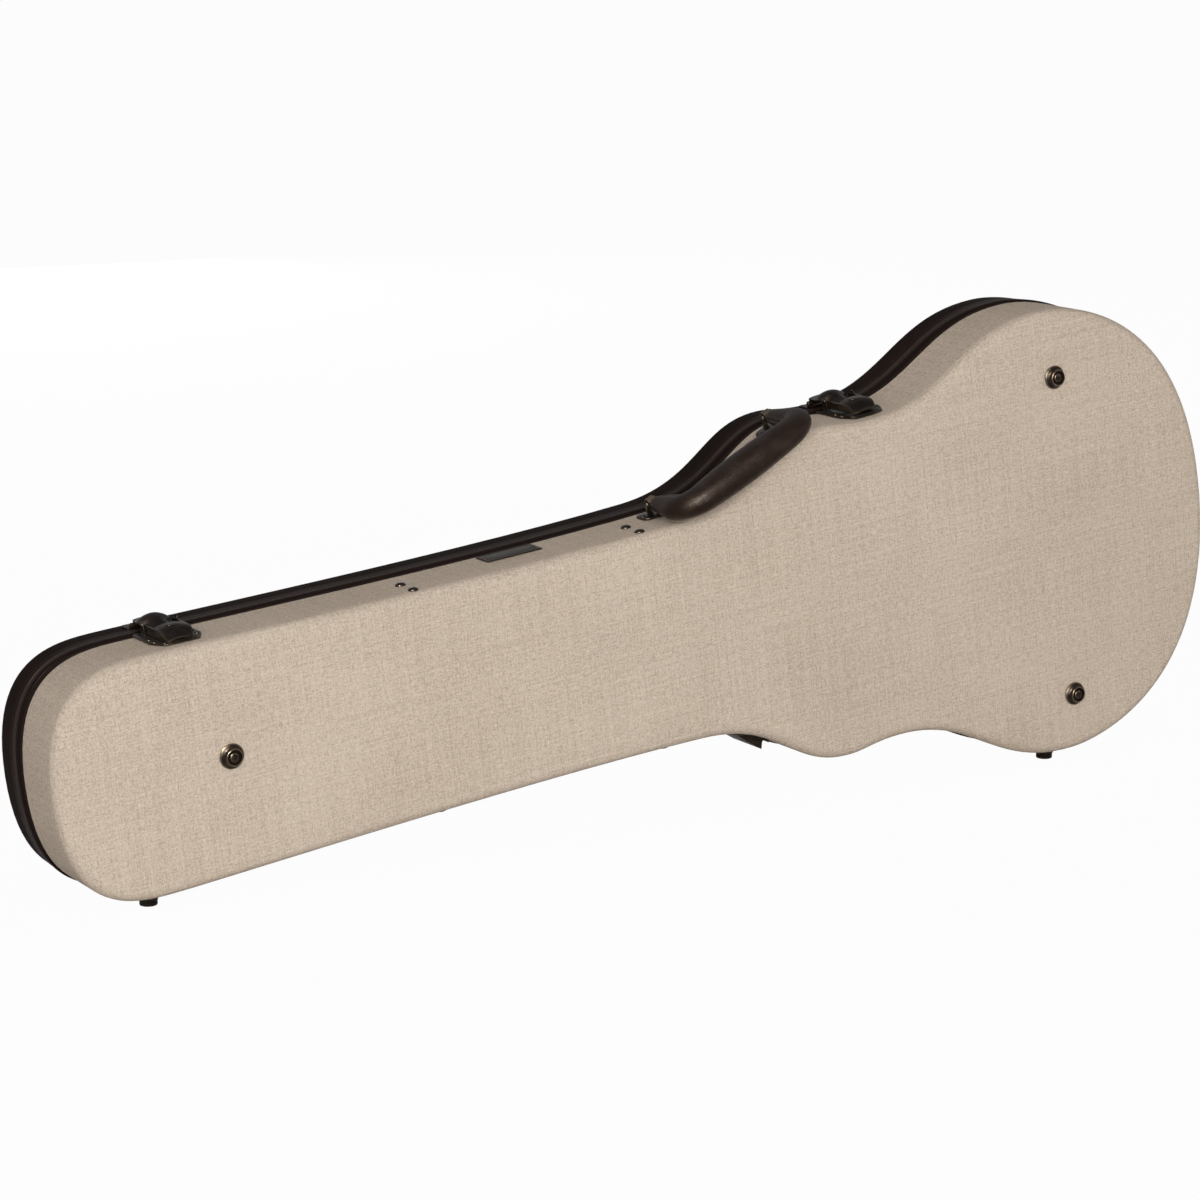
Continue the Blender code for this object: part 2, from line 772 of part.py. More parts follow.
def neck_rest():
    """Padded block with a saddle for the guitar's neck, on the body side of the compartment."""
    start = DIVIDER_BODY_U + 0.5 * DIVIDER_BOARD + INNER_CLEARANCE
    half = min(inner_half(start), inner_half(start + NECK_REST_LENGTH))
    low = floor_depth()
    soft = 0.0040
    corner = 0.0060
    right = [(low, half - corner), (low + corner, half), (NECK_REST_TOP - soft, half)]
    right += [(NECK_REST_TOP, half - soft), (NECK_REST_TOP, NECK_SLOT_HALF + soft)]
    saddle = []
    for k in range(9):
        angle = math.pi * k / 8
        v = NECK_SLOT_HALF * math.copysign(abs(math.cos(angle)) ** 0.6, math.cos(angle))
        saddle.append((NECK_REST_TOP - soft - (NECK_SLOT_DEPTH - soft) * math.sin(angle), v))
    left = [(w, -v) for w, v in reversed(right)]
    bm = bmesh.new()
    lengthwise(bm, right + saddle + left, start, start + NECK_REST_LENGTH)
    add("neck_rest", bm, "plush")


def divider_rivet_places():
    """Name and place of each rivet that holds a divider, with Z outwards from the wall."""
    places = []
    for which, centre in (("head", DIVIDER_HEAD_U), ("body", DIVIDER_BODY_U)):
        for edge, side in (("upper", 1), ("lower", -1)):
            _, out = wall_point(arc_at(centre), side)
            for row, depth in enumerate(DIVIDER_RIVET_DEPTHS, start=1):
                base = wall_place(arc_at(centre), depth, 0.0, side)
                places.append((f"divider_rivet_{which}_{edge}_{row}", upright(base, at(out, 0.0))))
    return places


def divider_rivets():
    radius = DIVIDER_RIVET_RADIUS
    bm = bmesh.new()
    turned(bm, [(RIVET_SHANK, -WALL - 0.0012), (RIVET_SHANK, FIT_GAP)] + rivet_head(radius, FIT_GAP), 8)
    mesh = finished("divider_rivet", bm, "bronze")
    for name, place in divider_rivet_places():
        show(name, mesh, CASE, place)


def rivet_head(radius, base):
    return [(radius, base), (0.92 * radius, base + 0.22 * radius), (0.55 * radius, base + 0.46 * radius)]


def riveted(piece, spots, side=1):
    """Welds rivet heads to a plate. Spots are (distance along the wall, depth, height of the plate)."""
    bm = bmesh.new()
    for arc, depth, height in spots:
        _, out = wall_point(arc, side)
        base = wall_place(arc, depth, height - 0.0004, side)
        turned(bm, rivet_head(RIVET_RADIUS, 0.0), 8, upright(base, at(out, 0.0)))
    combine(piece, piece.name + "_rivets", bm, "UNION")


# Feet

def stud(name, radius, height):
    """Stepped stud: flange, waist, and a flat ring round a hollow with a small dome."""
    disc = 0.68 * radius
    top = height - FIT_GAP
    profile = [
        (radius, 0.0), (radius, 0.24 * top), (0.72 * radius, 0.46 * top), (disc, 0.86 * top),
        (0.92 * disc, top), (0.58 * disc, top), (0.52 * disc, 0.84 * top), (0.16 * disc, 0.92 * top),
    ]
    bm = bmesh.new()
    turned(bm, profile, 14)
    return finished(name, bm, "bronze")


def back_feet():
    mesh = stud("back_foot", BACK_FOOT_RADIUS, BACK_FOOT_HEIGHT)
    places = (("neck", BACK_FOOT_NECK_U, 0.0), ("upper", BACK_FOOT_BODY_U, BACK_FOOT_BODY_HALF),
              ("lower", BACK_FOOT_BODY_U, -BACK_FOOT_BODY_HALF))
    for place, u, v in places:
        show("back_foot_" + place, mesh, CASE, upright(Vector((u, -FIT_GAP, v)), Vector((0.0, -1.0, 0.0))))


def side_feet():
    mesh = stud("side_foot", SIDE_FOOT_RADIUS, SIDE_FOOT_HEIGHT)
    down = at(STAND_DOWN, 0.0)
    for where, point in (("neck", STAND_NECK), ("bout", STAND_BODY)):
        for edge, depth in zip(("back", "lid"), SIDE_FOOT_DEPTHS):
            base = at(point, depth) + down * FIT_GAP
            show("side_foot_" + where + "_" + edge, mesh, CASE, upright(base, down))


# Hinges

def hinge_point(centre, x, y, z):
    """Case coordinates of a point drawn in a hinge's frame: x along the axis, y depth, z outwards."""
    flat = STAND_NECK + STAND_ALONG * (centre + x) + STAND_DOWN * z
    return at(flat, y)


def hinge_centres():
    span = (STAND_BODY - STAND_NECK).length
    shift = SIDE_FOOT_RADIUS + HINGE_FOOT_GAP + 0.5 * HINGE_LENGTH
    return (("neck", shift), ("bout", span + shift))


def hinge_arc(centre, x):
    return arc_at((STAND_NECK + STAND_ALONG * (centre + x)).x)


def bend_to_wall(bm, centre, low, high):
    """Lays the flat end of a leaf, beyond depth low, on the wall. From depth high on it stays straight."""
    along = at(STAND_ALONG, 0.0)
    for v in bm.verts:
        x, y, z = v.co
        share = min(max((y - low) / (high - low), 0.0), 1.0)
        straight = hinge_point(centre, x, y, z)
        on_wall = wall_place(hinge_arc(centre, x), y, z, -1)
        on_wall += along * (straight - on_wall).dot(along)
        v.co = on_wall.lerp(straight, share * share * (3.0 - 2.0 * share))


def hinge_leaf(name, centre, path, bend, notches, rivet_depth, axis=None):
    half = 0.5 * HINGE_LENGTH
    bm = bmesh.new()
    prism(bm, [(-half, y, z) for y, z in thick_path(path, HINGE_SHEET)], Vector((HINGE_LENGTH, 0.0, 0.0)))
    corners = [(corner.x - STAND_NECK.x) / STAND_ALONG.x - centre for corner in OUTLINE[:HALF_COUNT]]
    split(bm, corners, [side for notch in notches for side in notch])
    bend_to_wall(bm, centre, *bend)
    piece = add(name, bm, "bronze", axis=axis)
    reach = HINGE_PIN_RADIUS + PIN_CLEARANCE + 2.0 * HINGE_SHEET
    corners = ((-reach, -HINGE_AXIS_OUT), (reach, -HINGE_AXIS_OUT), (reach, reach), (-reach, reach))
    cut = bmesh.new()
    for start, end in notches:
        near = [hinge_point(centre, start, HINGE_DEPTH + y, HINGE_AXIS_OUT + z) for y, z in corners]
        far = [hinge_point(centre, end, HINGE_DEPTH + y, HINGE_AXIS_OUT + z) for y, z in corners]
        skin(cut, [near, far])
    combine(piece, name + "_notches", cut, "DIFFERENCE")
    top = FIT_GAP + HINGE_SHEET
    riveted(piece, [(hinge_arc(centre, x), rivet_depth, top) for x in (-0.30 * HINGE_LENGTH, 0.30 * HINGE_LENGTH)], -1)


def hinges(lid):
    middle = HINGE_PIN_RADIUS + PIN_CLEARANCE + 0.5 * HINGE_SHEET
    axis = (HINGE_DEPTH, HINGE_AXIS_OUT)
    rest = FIT_GAP + 0.5 * HINGE_SHEET
    base_bend = (BASE_WALL_TOP - 0.0020, BASE_WALL_TOP + 0.0015)
    lid_bend = (LID_RIM_TOP + 0.0060, LID_RIM_TOP + 0.0015)
    base_path = [(HINGE_LEAF_START, rest), (base_bend[0] - 0.0010, rest), (base_bend[1], axis[1] + middle)]
    base_path += arc_points(axis, middle, 90.0, -290.0, 9)
    lid_path = [(HINGE_LEAF_END, rest), (lid_bend[0], rest), (lid_bend[1], axis[1] - middle)]
    lid_path += arc_points(axis, middle, -90.0, -290.0, 9)
    third = HINGE_LENGTH / 6.0
    past = 0.6 * HINGE_LENGTH
    inner = ((-third - KNUCKLE_GAP, third + KNUCKLE_GAP),)
    outer = ((-past, -third), (third, past))
    pin = bmesh.new()
    turned(pin, [(HINGE_PIN_RADIUS, 0.0), (HINGE_PIN_RADIUS, HINGE_LENGTH + 0.0010)], 10)
    pin_mesh = finished("hinge_pin", pin, "bronze")
    for place, centre in hinge_centres():
        hinge_leaf("hinge_leaf_base_" + place, centre, base_path, base_bend, inner, HINGE_LEAF_START + 0.0065)
        hinge_leaf("hinge_leaf_lid_" + place, centre, lid_path, lid_bend, outer, HINGE_LEAF_END - 0.0032, lid)
        start = hinge_point(centre, -0.5 * HINGE_LENGTH - 0.0005, *axis)
        show("hinge_pin_" + place, pin_mesh, CASE, upright(start, at(STAND_ALONG, 0.0)))


# Latches

def latch_matrix(u):
    """Place of a latch on the wall: X along the wall, Y the depth, Z outwards."""
    arc = arc_at(u)
    point, _ = wall_point(arc)
    before, _ = wall_point(arc - LATCH_PLATE_HALF)
    after, _ = wall_point(arc + LATCH_PLATE_HALF)
    along = (after - before).normalized()
    out = Vector((-along.y, along.x))
    hollow = max((before - point).dot(out), (after - point).dot(out), 0.0)
    matrix = Matrix((at(along, 0.0), (0.0, 1.0, 0.0), at(out, 0.0))).transposed().to_4x4()
    matrix.translation = at(point + out * hollow, 0.0)
    return matrix


def latch_plate(place, arc, frame, matrix):
    """Pressed plate with two ears, whose pressed-in pivots carry the lever."""
    half, tip = LATCH_PLATE_HALF, LATCH_PLATE_TIP_HALF
    start = LATCH_PLATE_START
    end = BASE_WALL_TOP - 0.0005
    shoulder = start + LATCH_PLATE_SHOULDER
    corner = LATCH_PLATE_CORNER
    outline = [(-tip, start), (tip, start), (half, shoulder), (half, end - corner), (half - corner, end),
               (corner - half, end), (-half, end - corner), (-half, shoulder)]
    bm = bmesh.new()
    plate(bm, outline, FIT_GAP, FIT_GAP + LATCH_SHEET, arc)
    piece = add("latch_plate_" + place, bm, "bronze")
    ears = bmesh.new()
    inner = LEVER_HALF + PIN_CLEARANCE
    radius = LATCH_PIN_RADIUS + 0.0022
    pivot = Vector((0.0, LEVER_PIVOT_DEPTH, LEVER_PIVOT_OUT))
    for way in (-1.0, 1.0):
        seat = wall_place(arc + way * inner, LEVER_PIVOT_DEPTH, FIT_GAP + 0.5 * LATCH_SHEET)
        foot = (matrix.inverted() @ seat).z
        section = [(LEVER_PIVOT_DEPTH + y, LEVER_PIVOT_OUT + z) for y, z in arc_points((0, 0), radius, 0, 180, 6)]
        section = [(LEVER_PIVOT_DEPTH + 1.4 * radius, foot)] + section + [(LEVER_PIVOT_DEPTH - 1.4 * radius, foot)]
        prism(ears, [(way * inner, y, z) for y, z in section], Vector((way * LATCH_SHEET, 0.0, 0.0)))
    combine(piece, "latch_ears_" + place, ears, "UNION", frame)
    pivots = bmesh.new()
    for way in (-1.0, 1.0):
        tip_x = LEVER_HALF - LEVER_SHEET + 0.0002
        rod(pivots, pivot + Vector((way * tip_x, 0, 0)), pivot + Vector((way * (inner + 1.4 * LATCH_SHEET), 0, 0)),
            LATCH_PIN_RADIUS)
    combine(piece, "latch_pivots_" + place, pivots, "UNION", frame)
    spots = []
    for depth in (start + 0.0130, start + 0.0225):
        for way in (-1.0, 1.0):
            spots.append((arc + way * LATCH_RIVET_SIDE, depth, FIT_GAP + LATCH_SHEET))
    riveted(piece, spots)


def lever_end():
    return LEVER_PIVOT_DEPTH + LEVER_NOSE


def latch_lever(place, frame, axis):
    """Pressed channel: two cheeks under a crowned web that stops short of the link's eye."""
    low = 0.0030
    wide = LEVER_HALF
    inner = wide - LEVER_SHEET
    top = LEVER_PIVOT_OUT + 0.0008
    section = [(-wide, low), (-wide, top - 0.0008), (-0.6 * wide, top + 0.0010), (0.0, top + 0.0016),
               (0.6 * wide, top + 0.0010), (wide, top - 0.0008), (wide, low), (inner, low), (inner, top - 0.0018),
               (0.0, top + 0.0002), (-inner, top - 0.0018), (-inner, low)]
    end = lever_end()
    bm = bmesh.new()
    prism(bm, [(x, LEVER_START, z) for x, z in section], Vector((0.0, end - LEVER_START, 0.0)))
    piece = add("latch_lever_" + place, bm, "bronze", frame, axis)
    mouth = bmesh.new()
    corners = [(-inner, LINK_PIVOT_DEPTH - LEVER_MOUTH), (inner, LINK_PIVOT_DEPTH - LEVER_MOUTH),
               (inner, end + 0.0030), (-inner, end + 0.0030)]
    prism(mouth, [(x, y, 0.0) for x, y in corners], Vector((0.0, 0.0, 2.0 * top)))
    combine(piece, "lever_mouth_" + place, mouth, "DIFFERENCE", frame)
    holes = bmesh.new()
    reach = Vector((wide + 0.0030, 0.0, 0.0))
    for y, z in ((LEVER_PIVOT_DEPTH, LEVER_PIVOT_OUT), (LINK_PIVOT_DEPTH, LINK_PIVOT_OUT)):
        centre = Vector((0.0, y, z))
        rod(holes, centre - reach, centre + reach, LATCH_PIN_RADIUS + PIN_CLEARANCE)
    combine(piece, "lever_holes_" + place, holes, "DIFFERENCE", frame)


def link_section(y, mouth_end):
    """Half width, rise and crown of the link at a depth: a flat tongue, an arched hump over the rims, a claw."""
    tongue = (LINK_START_HALF, 0.0, 0.0)
    hump = (LINK_HUMP_HALF, LINK_HUMP_RISE, LINK_HUMP_CROWN)
    claw = (LINK_END_HALF, 0.0, LINK_END_CROWN)
    if y < LINK_HUMP_DEPTH:
        first, second, start, end = tongue, hump, mouth_end, LINK_HUMP_DEPTH
    else:
        first, second, start, end = hump, claw, LINK_HUMP_DEPTH, LINK_END_DEPTH
    share = min(max((y - start) / (end - start), 0.0), 1.0)
    blend = share * share * (3.0 - 2.0 * share)
    return [a + (b - a) * blend for a, b in zip(first, second)]


def latch_link(place, frame, axis):
    """Pressed strap with a rolled eye on the link pin and an arched end over the keeper."""
    eye = LATCH_PIN_RADIUS + PIN_CLEARANCE + LATCH_SHEET
    mouth_end = lever_end() + FIT_GAP
    climb = LINK_HUMP_DEPTH - mouth_end
    fall = LINK_END_DEPTH - LINK_HUMP_DEPTH
    stations = [LINK_PIVOT_DEPTH + 0.8 * eye] + [mouth_end + climb * k / 4.0 for k in range(5)]
    stations += [LINK_HUMP_DEPTH + fall * k / 5.0 for k in range(1, 6)]
    shares = (-1.0, -0.6, 0.0, 0.6, 1.0)
    rings = []
    for y in stations:
        half, rise, crown = link_section(y, mouth_end)
        base = KEEPER_HEIGHT + KEEPER_CLEARANCE + rise
        over = [Vector((x * half, y, base + crown * (1.0 - x * x) + LATCH_SHEET)) for x in shares]
        under = [Vector((x * half, y, base + crown * (1.0 - x * x))) for x in reversed(shares)]
        rings.append(over + under)
    bm = bmesh.new()
    skin(bm, rings)
    piece = add("latch_link_" + place, bm, "bronze", frame, axis)
    pivot = Vector((0.0, LINK_PIVOT_DEPTH, LINK_PIVOT_OUT))
    side = Vector((LINK_START_HALF - 0.0002, 0.0, 0.0))
    barrel = bmesh.new()
    rod(barrel, pivot - side, pivot + side, eye, 14)
    combine(piece, "link_eye_" + place, barrel, "UNION", frame)
    bore = bmesh.new()
    rod(bore, pivot - 2.0 * side, pivot + 2.0 * side, LATCH_PIN_RADIUS + PIN_CLEARANCE)
    combine(piece, "link_bore_" + place, bore, "DIFFERENCE", frame)


def latch_keeper(place, arc, matrix, lid):
    """Plate on the lid's band with a round bar that the link lies over."""
    start = LID_RIM_TOP + 0.0010
    end = LID_BAND_STRAIGHT - 0.0003
    half = LINK_END_HALF + 0.0030
    sheet = FIT_GAP + 0.0010
    bar = []
    for y, z in arc_points((KEEPER_DEPTH, 0.0), 0.0026, 180, -180, 6):
        bar.append((y, sheet + (KEEPER_HEIGHT - sheet) * z / 0.0026))
    section = [(end, FIT_GAP), (start, FIT_GAP), (start, sheet)] + bar + [(end, sheet)]
    bm = bmesh.new()
    prism(bm, [(-half, y, z) for y, z in section], Vector((2.0 * half, 0.0, 0.0)))
    split(bm, [corner - arc for corner in ARCS])
    for v in bm.verts:
        share = min(max((v.co.z - sheet) / (KEEPER_HEIGHT - sheet), 0.0), 1.0)
        v.co = wall_place(arc + v.co.x, v.co.y, v.co.z).lerp(matrix @ v.co, share)
    add("latch_keeper_" + place, bm, "bronze", axis=lid)


def latches(lid):
    pin = bmesh.new()
    length = 2.0 * LEVER_HALF - 0.0002
    turned(pin, [(LATCH_PIN_RADIUS, -0.5 * length), (LATCH_PIN_RADIUS, 0.5 * length)], 10)
    pin_mesh = finished("link_pin", pin, "bronze")
    places = (("neck", LATCH_NECK_U), ("waist", LATCH_WAIST_U), ("tail", CASE_LENGTH - LATCH_TAIL_SETBACK))
    for place, u in places:
        matrix = latch_matrix(u)
        frame = empty("latch_" + place, CASE, matrix)
        lever = empty("lever_axis_" + place, frame, Matrix.Translation((0.0, LEVER_PIVOT_DEPTH, LEVER_PIVOT_OUT)))
        link = empty("link_axis_" + place, frame, Matrix.Translation((0.0, LINK_PIVOT_DEPTH, LINK_PIVOT_OUT)))
        latch_plate(place, arc_at(u), frame, matrix)
        latch_keeper(place, arc_at(u), matrix, lid)
        latch_lever(place, frame, lever)
        latch_link(place, frame, link)
        show("link_pin_" + place, pin_mesh, lever,
             upright(link.location - lever.location, Vector((1.0, 0.0, 0.0))))


# Handle

def handle_ends():
    ends = []
    for u, rise in ((HANDLE_LEFT_U, HANDLE_LEFT_OUT), (HANDLE_RIGHT_U, HANDLE_RIGHT_OUT)):
        point, out = wall_point(arc_at(u))
        ends.append(point + out.normalized() * rise)
    return ends


def handle_matrix():
    """Place of the folded handle: X along its axis, Y its reach, Z its thickness."""
    left, right = handle_ends()
    along = (right - left).normalized()
    up = Vector((-along.y, along.x))
    lift = math.radians(HANDLE_REST_LIFT)
    x = at(along, 0.0)
    reach = at(up * math.sin(lift), -math.cos(lift))
    matrix = Matrix((x, reach, x.cross(reach))).transposed().to_4x4()
    matrix.translation = at((left + right) * 0.5, HANDLE_DEPTH)
    return matrix, 0.5 * (right - left).length


def grip_path(half):
    """Middle line of the D-shaped handle as (x, y, direction), from the left end to the right."""
    straight = HANDLE_REACH - HANDLE_CORNER
    path = [(-half, GRIP_START, 90.0), (-half, straight, 90.0)]
    for k in range(1, 5):
        angle = 90.0 * k / 4
        turn = math.radians(angle)
        path.append((-half + HANDLE_CORNER * (1.0 - math.cos(turn)), straight + HANDLE_CORNER * math.sin(turn),
                     90.0 - angle))
    run = half - HANDLE_CORNER
    path += [(-run * (1.0 - k / 3.0), HANDLE_REACH, 0.0) for k in range(1, 3)]
    return path + [(0.0, HANDLE_REACH, 0.0)] + [(-x, y, -angle) for x, y, angle in reversed(path)]


def section_ring(place, wide, thick, sides=4):
    """Section square to the handle's middle line: a rectangle, or an oval when it has more sides."""
    x, y, angle = place
    turn = math.radians(angle)
    grow = math.sqrt(2.0) if sides == 4 else 1.0
    loop = []
    for j in range(sides):
        a = 2.0 * math.pi * (j + 0.5) / sides
        across = grow * wide * math.cos(a)
        loop.append(Vector((x - math.sin(turn) * across, y + math.cos(turn) * across, grow * thick * math.sin(a))))
    return loop


def handle_grip(path, frame, axis):
    """Padded cover, thickest left of its middle, with a slot for the core all the way through."""
    lengths = [0.0]
    for a, b in zip(path, path[1:]):
        lengths.append(lengths[-1] + math.hypot(b[0] - a[0], b[1] - a[1]))
    outside = []
    for place, length in zip(path, lengths):
        share = length / lengths[-1]
        share = 0.5 * share / GRIP_FULLEST if share < GRIP_FULLEST else 1.0 - 0.5 * (1.0 - share) / (1.0 - GRIP_FULLEST)
        swell = math.sin(math.pi * share) ** GRIP_SWELL
        wide = GRIP_END_WIDTH + (GRIP_MID_WIDTH - GRIP_END_WIDTH) * swell
        thick = GRIP_END_THICK + (GRIP_MID_THICK - GRIP_END_THICK) * swell
        outside.append(section_ring(place, wide, thick, 12))
    bm = bmesh.new()
    skin(bm, outside)
    piece = add("handle_grip", bm, "leather", frame, axis, 60.0)
    half = path[-1][0]
    past_end = 0.8 * GRIP_START
    route = [(-half, past_end, 90.0)] + path + [(half, past_end, -90.0)]
    channel = bmesh.new()
    skin(channel, [section_ring(p, 0.5 * CORE_SHEET + PIN_CLEARANCE, CORE_HALF + PIN_CLEARANCE) for p in route])
    combine(piece, "grip_slot", channel, "DIFFERENCE", frame)


def handle_core(path, half, frame, axis):
    """Steel strap through the grip that ends in an eye on each pin."""
    inside_eye = 0.8 * EYE_RADIUS
    route = [(-half, inside_eye, 90.0)] + path + [(half, inside_eye, -90.0)]
    bm = bmesh.new()
    skin(bm, [section_ring(place, 0.5 * CORE_SHEET, CORE_HALF) for place in route])
    piece = add("handle_core", bm, "bronze", frame, axis)
    eyes = bmesh.new()
    bores = bmesh.new()
    for x in (-half, half):
        place = upright(Vector((x, 0.0, 0.0)), Vector((1.0, 0.0, 0.0)))
        turned(eyes, [(EYE_RADIUS, -0.5 * EYE_LENGTH), (EYE_RADIUS, 0.5 * EYE_LENGTH)], 14, place)
        bore = HANDLE_PIN_RADIUS + PIN_CLEARANCE
        turned(bores, [(bore, -EYE_LENGTH), (bore, EYE_LENGTH)], 14, place)
    combine(piece, "core_eyes", eyes, "UNION", frame)
    combine(piece, "core_bores", bores, "DIFFERENCE", frame)


def handle_bracket(name, u, x, matrix):
    """Plate bent to the wall, with two ears welded on that carry the pin."""
    arc = arc_at(u)
    bm = bmesh.new()
    plate(bm, rounded_rectangle(0.5 * BRACKET_LENGTH, 0.5 * BRACKET_WIDTH, 0.0060, HANDLE_DEPTH),
          FIT_GAP, FIT_GAP + BRACKET_SHEET, arc)
    piece = add(name, bm, "bronze")
    inner = 0.5 * EYE_LENGTH + PIN_CLEARANCE
    radius = HANDLE_PIN_RADIUS + 0.0026
    ears = bmesh.new()
    pivot = matrix @ Vector((x, 0.0, 0.0))
    along = matrix.col[0].to_3d().normalized()
    up = Vector((-along.z, 0.0, along.x))
    for start in (-inner - BRACKET_EAR, inner):
        middle = start + 0.5 * BRACKET_EAR
        place = arc
        for _ in range(4):
            seat = wall_place(place, HANDLE_DEPTH, FIT_GAP + 0.5 * BRACKET_SHEET)
            place += middle - (seat - pivot).dot(along)
        foot = (seat - pivot).dot(up)
        section = arc_points((0.0, 0.0), radius, 0.0, 180.0, 6) + [(-1.4 * radius, foot), (1.4 * radius, foot)]
        prism(ears, [pivot + along * start + up * h + Vector((0.0, y, 0.0)) for y, h in section],
              along * BRACKET_EAR)
    combine(piece, name + "_ears", ears, "UNION")
    hole = bmesh.new()
    reach = along * (inner + 2.0 * BRACKET_EAR)
    rod(hole, pivot - reach, pivot + reach, HANDLE_PIN_RADIUS + PIN_CLEARANCE, 14)
    combine(piece, name + "_hole", hole, "DIFFERENCE")
    side = 0.5 * BRACKET_LENGTH - 0.0034
    riveted(piece, [(arc - side, HANDLE_DEPTH, FIT_GAP + BRACKET_SHEET), (arc + side, HANDLE_DEPTH, FIT_GAP + BRACKET_SHEET)])


def handle_parts():
    matrix, half = handle_matrix()
    frame = empty("handle_frame", CASE, matrix)
    axis = empty("handle_axis", frame)
    path = grip_path(half)
    handle_grip(path, frame, axis)
    handle_core(path, half, frame, axis)
    handle_bracket("handle_bracket_left", HANDLE_LEFT_U, -half, matrix)
    handle_bracket("handle_bracket_right", HANDLE_RIGHT_U, half, matrix)
    reach = 0.5 * EYE_LENGTH + PIN_CLEARANCE + BRACKET_EAR + 0.0008
    pin = bmesh.new()
    turned(pin, [(HANDLE_PIN_RADIUS, -reach), (HANDLE_PIN_RADIUS, reach)], 14)
    mesh = finished("handle_pin", pin, "bronze")
    show("handle_pin_left", mesh, frame, upright(Vector((-half, 0.0, 0.0)), Vector((1.0, 0.0, 0.0))))
    show("handle_pin_right", mesh, frame, upright(Vector((half, 0.0, 0.0)), Vector((1.0, 0.0, 0.0))))


# Small plates

def name_plate():
    arc = arc_at(NAME_PLATE_U)
    outline = rounded_rectangle(0.5 * NAME_PLATE_LENGTH, 0.5 * NAME_PLATE_WIDTH, 0.0015, NAME_PLATE_DEPTH, 2)
    bm = bmesh.new()
    plate(bm, outline, FIT_GAP, FIT_GAP + NAME_PLATE_SHEET, arc)
    piece = add("name_plate", bm, "bronze")
    side = 0.5 * NAME_PLATE_LENGTH - 0.0040
    top = FIT_GAP + NAME_PLATE_SHEET
    riveted(piece, [(arc - side, NAME_PLATE_DEPTH, top), (arc + side, NAME_PLATE_DEPTH, top)])


def side_guide():
    """Pressed plate on the hinge side, below the shoulder, with a raised pad."""
    half, tip = LATCH_PLATE_HALF, LATCH_PLATE_TIP_HALF
    start = LATCH_PLATE_START
    end = BASE_WALL_TOP - 0.0005
    arc = arc_at(GUIDE_U)
    corner = 0.0100
    outline = [(-tip, start), (tip, start), (half, start + corner), (half, end - corner), (tip, end),
               (-tip, end), (-half, end - corner), (-half, start + corner)]
    bm = bmesh.new()
    plate(bm, outline, FIT_GAP, GUIDE_SHEET, arc, -1)
    piece = add("side_guide", bm, "bronze")
    pad = bmesh.new()
    pad_half = 0.0145
    low, high = start + 0.0020, end - 0.0040
    outline = [(-pad_half, low), (pad_half, low), (pad_half, high), (-pad_half, high)]
    plate(pad, outline, 0.5 * GUIDE_SHEET, GUIDE_HEIGHT, arc, -1)
    combine(piece, "side_guide_pad", pad, "UNION")


# Assembly

LID = empty("lid_axis", CASE, Matrix.Translation(hinge_point(0.0, 0.0, HINGE_DEPTH, HINGE_AXIS_OUT)))
FLAP = empty("flap_axis", CASE, Matrix.Translation(flap_pivot(flap_span()[0])))
base_shell()
base_rim()
base_lining()
lid_band(LID)
lid_rim(LID)
lid_top(LID)
lid_lining(LID)
divider("divider_head", DIVIDER_HEAD_U)
divider("divider_body", DIVIDER_BODY_U)
divider_rivets()
compartment_flap(FLAP)
flap_pull(FLAP)
flap_pins()
flap_batten()
neck_rest()
back_feet()
side_feet()
hinges(LID)
latches(LID)
handle_parts()
name_plate()
side_guide()


def stand_up():
    """Turns the case on to its side feet and puts the origin under the middle of its box."""
    CASE.rotation_euler = (0.0, -STAND_TILT, 0.0)
    bpy.context.view_layer.update()
    graph = bpy.context.evaluated_depsgraph_get()
    corners = []
    for piece in bpy.data.objects:
        if piece.type == "MESH" and not piece.hide_render:
            shown = piece.evaluated_get(graph)
            corners += [shown.matrix_world @ v.co for v in shown.data.vertices]
    low = Vector([min(c[k] for c in corners) for k in range(3)])
    high = Vector([max(c[k] for c in corners) for k in range(3)])
    CASE.location = Vector((-0.5 * (low.x + high.x), -0.5 * (low.y + high.y), -low.z))
    bpy.context.view_layer.update()
    return high - low


def describe(size):
    print("Outer size in metres:", [round(s, 4) for s in size])
    print("Tilt of the centre line in degrees:", round(math.degrees(STAND_TILT), 3))
    for place in bpy.data.objects:
        if place.type == "EMPTY":
            along = place.matrix_world.to_3x3() @ Vector((1.0, 0.0, 0.0))
            print(place.name, [round(c, 6) for c in place.matrix_world.translation], [round(c, 6) for c in along])


describe(stand_up())
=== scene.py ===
# Looks for a hard electric guitar case that stands on its hinge side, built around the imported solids.
# Case space: u along the centre line from the neck end, w (depth) from the back face to the lid,
# v across to the handle.
import json
import math

import bmesh
import bpy
from mathutils import Matrix, Vector


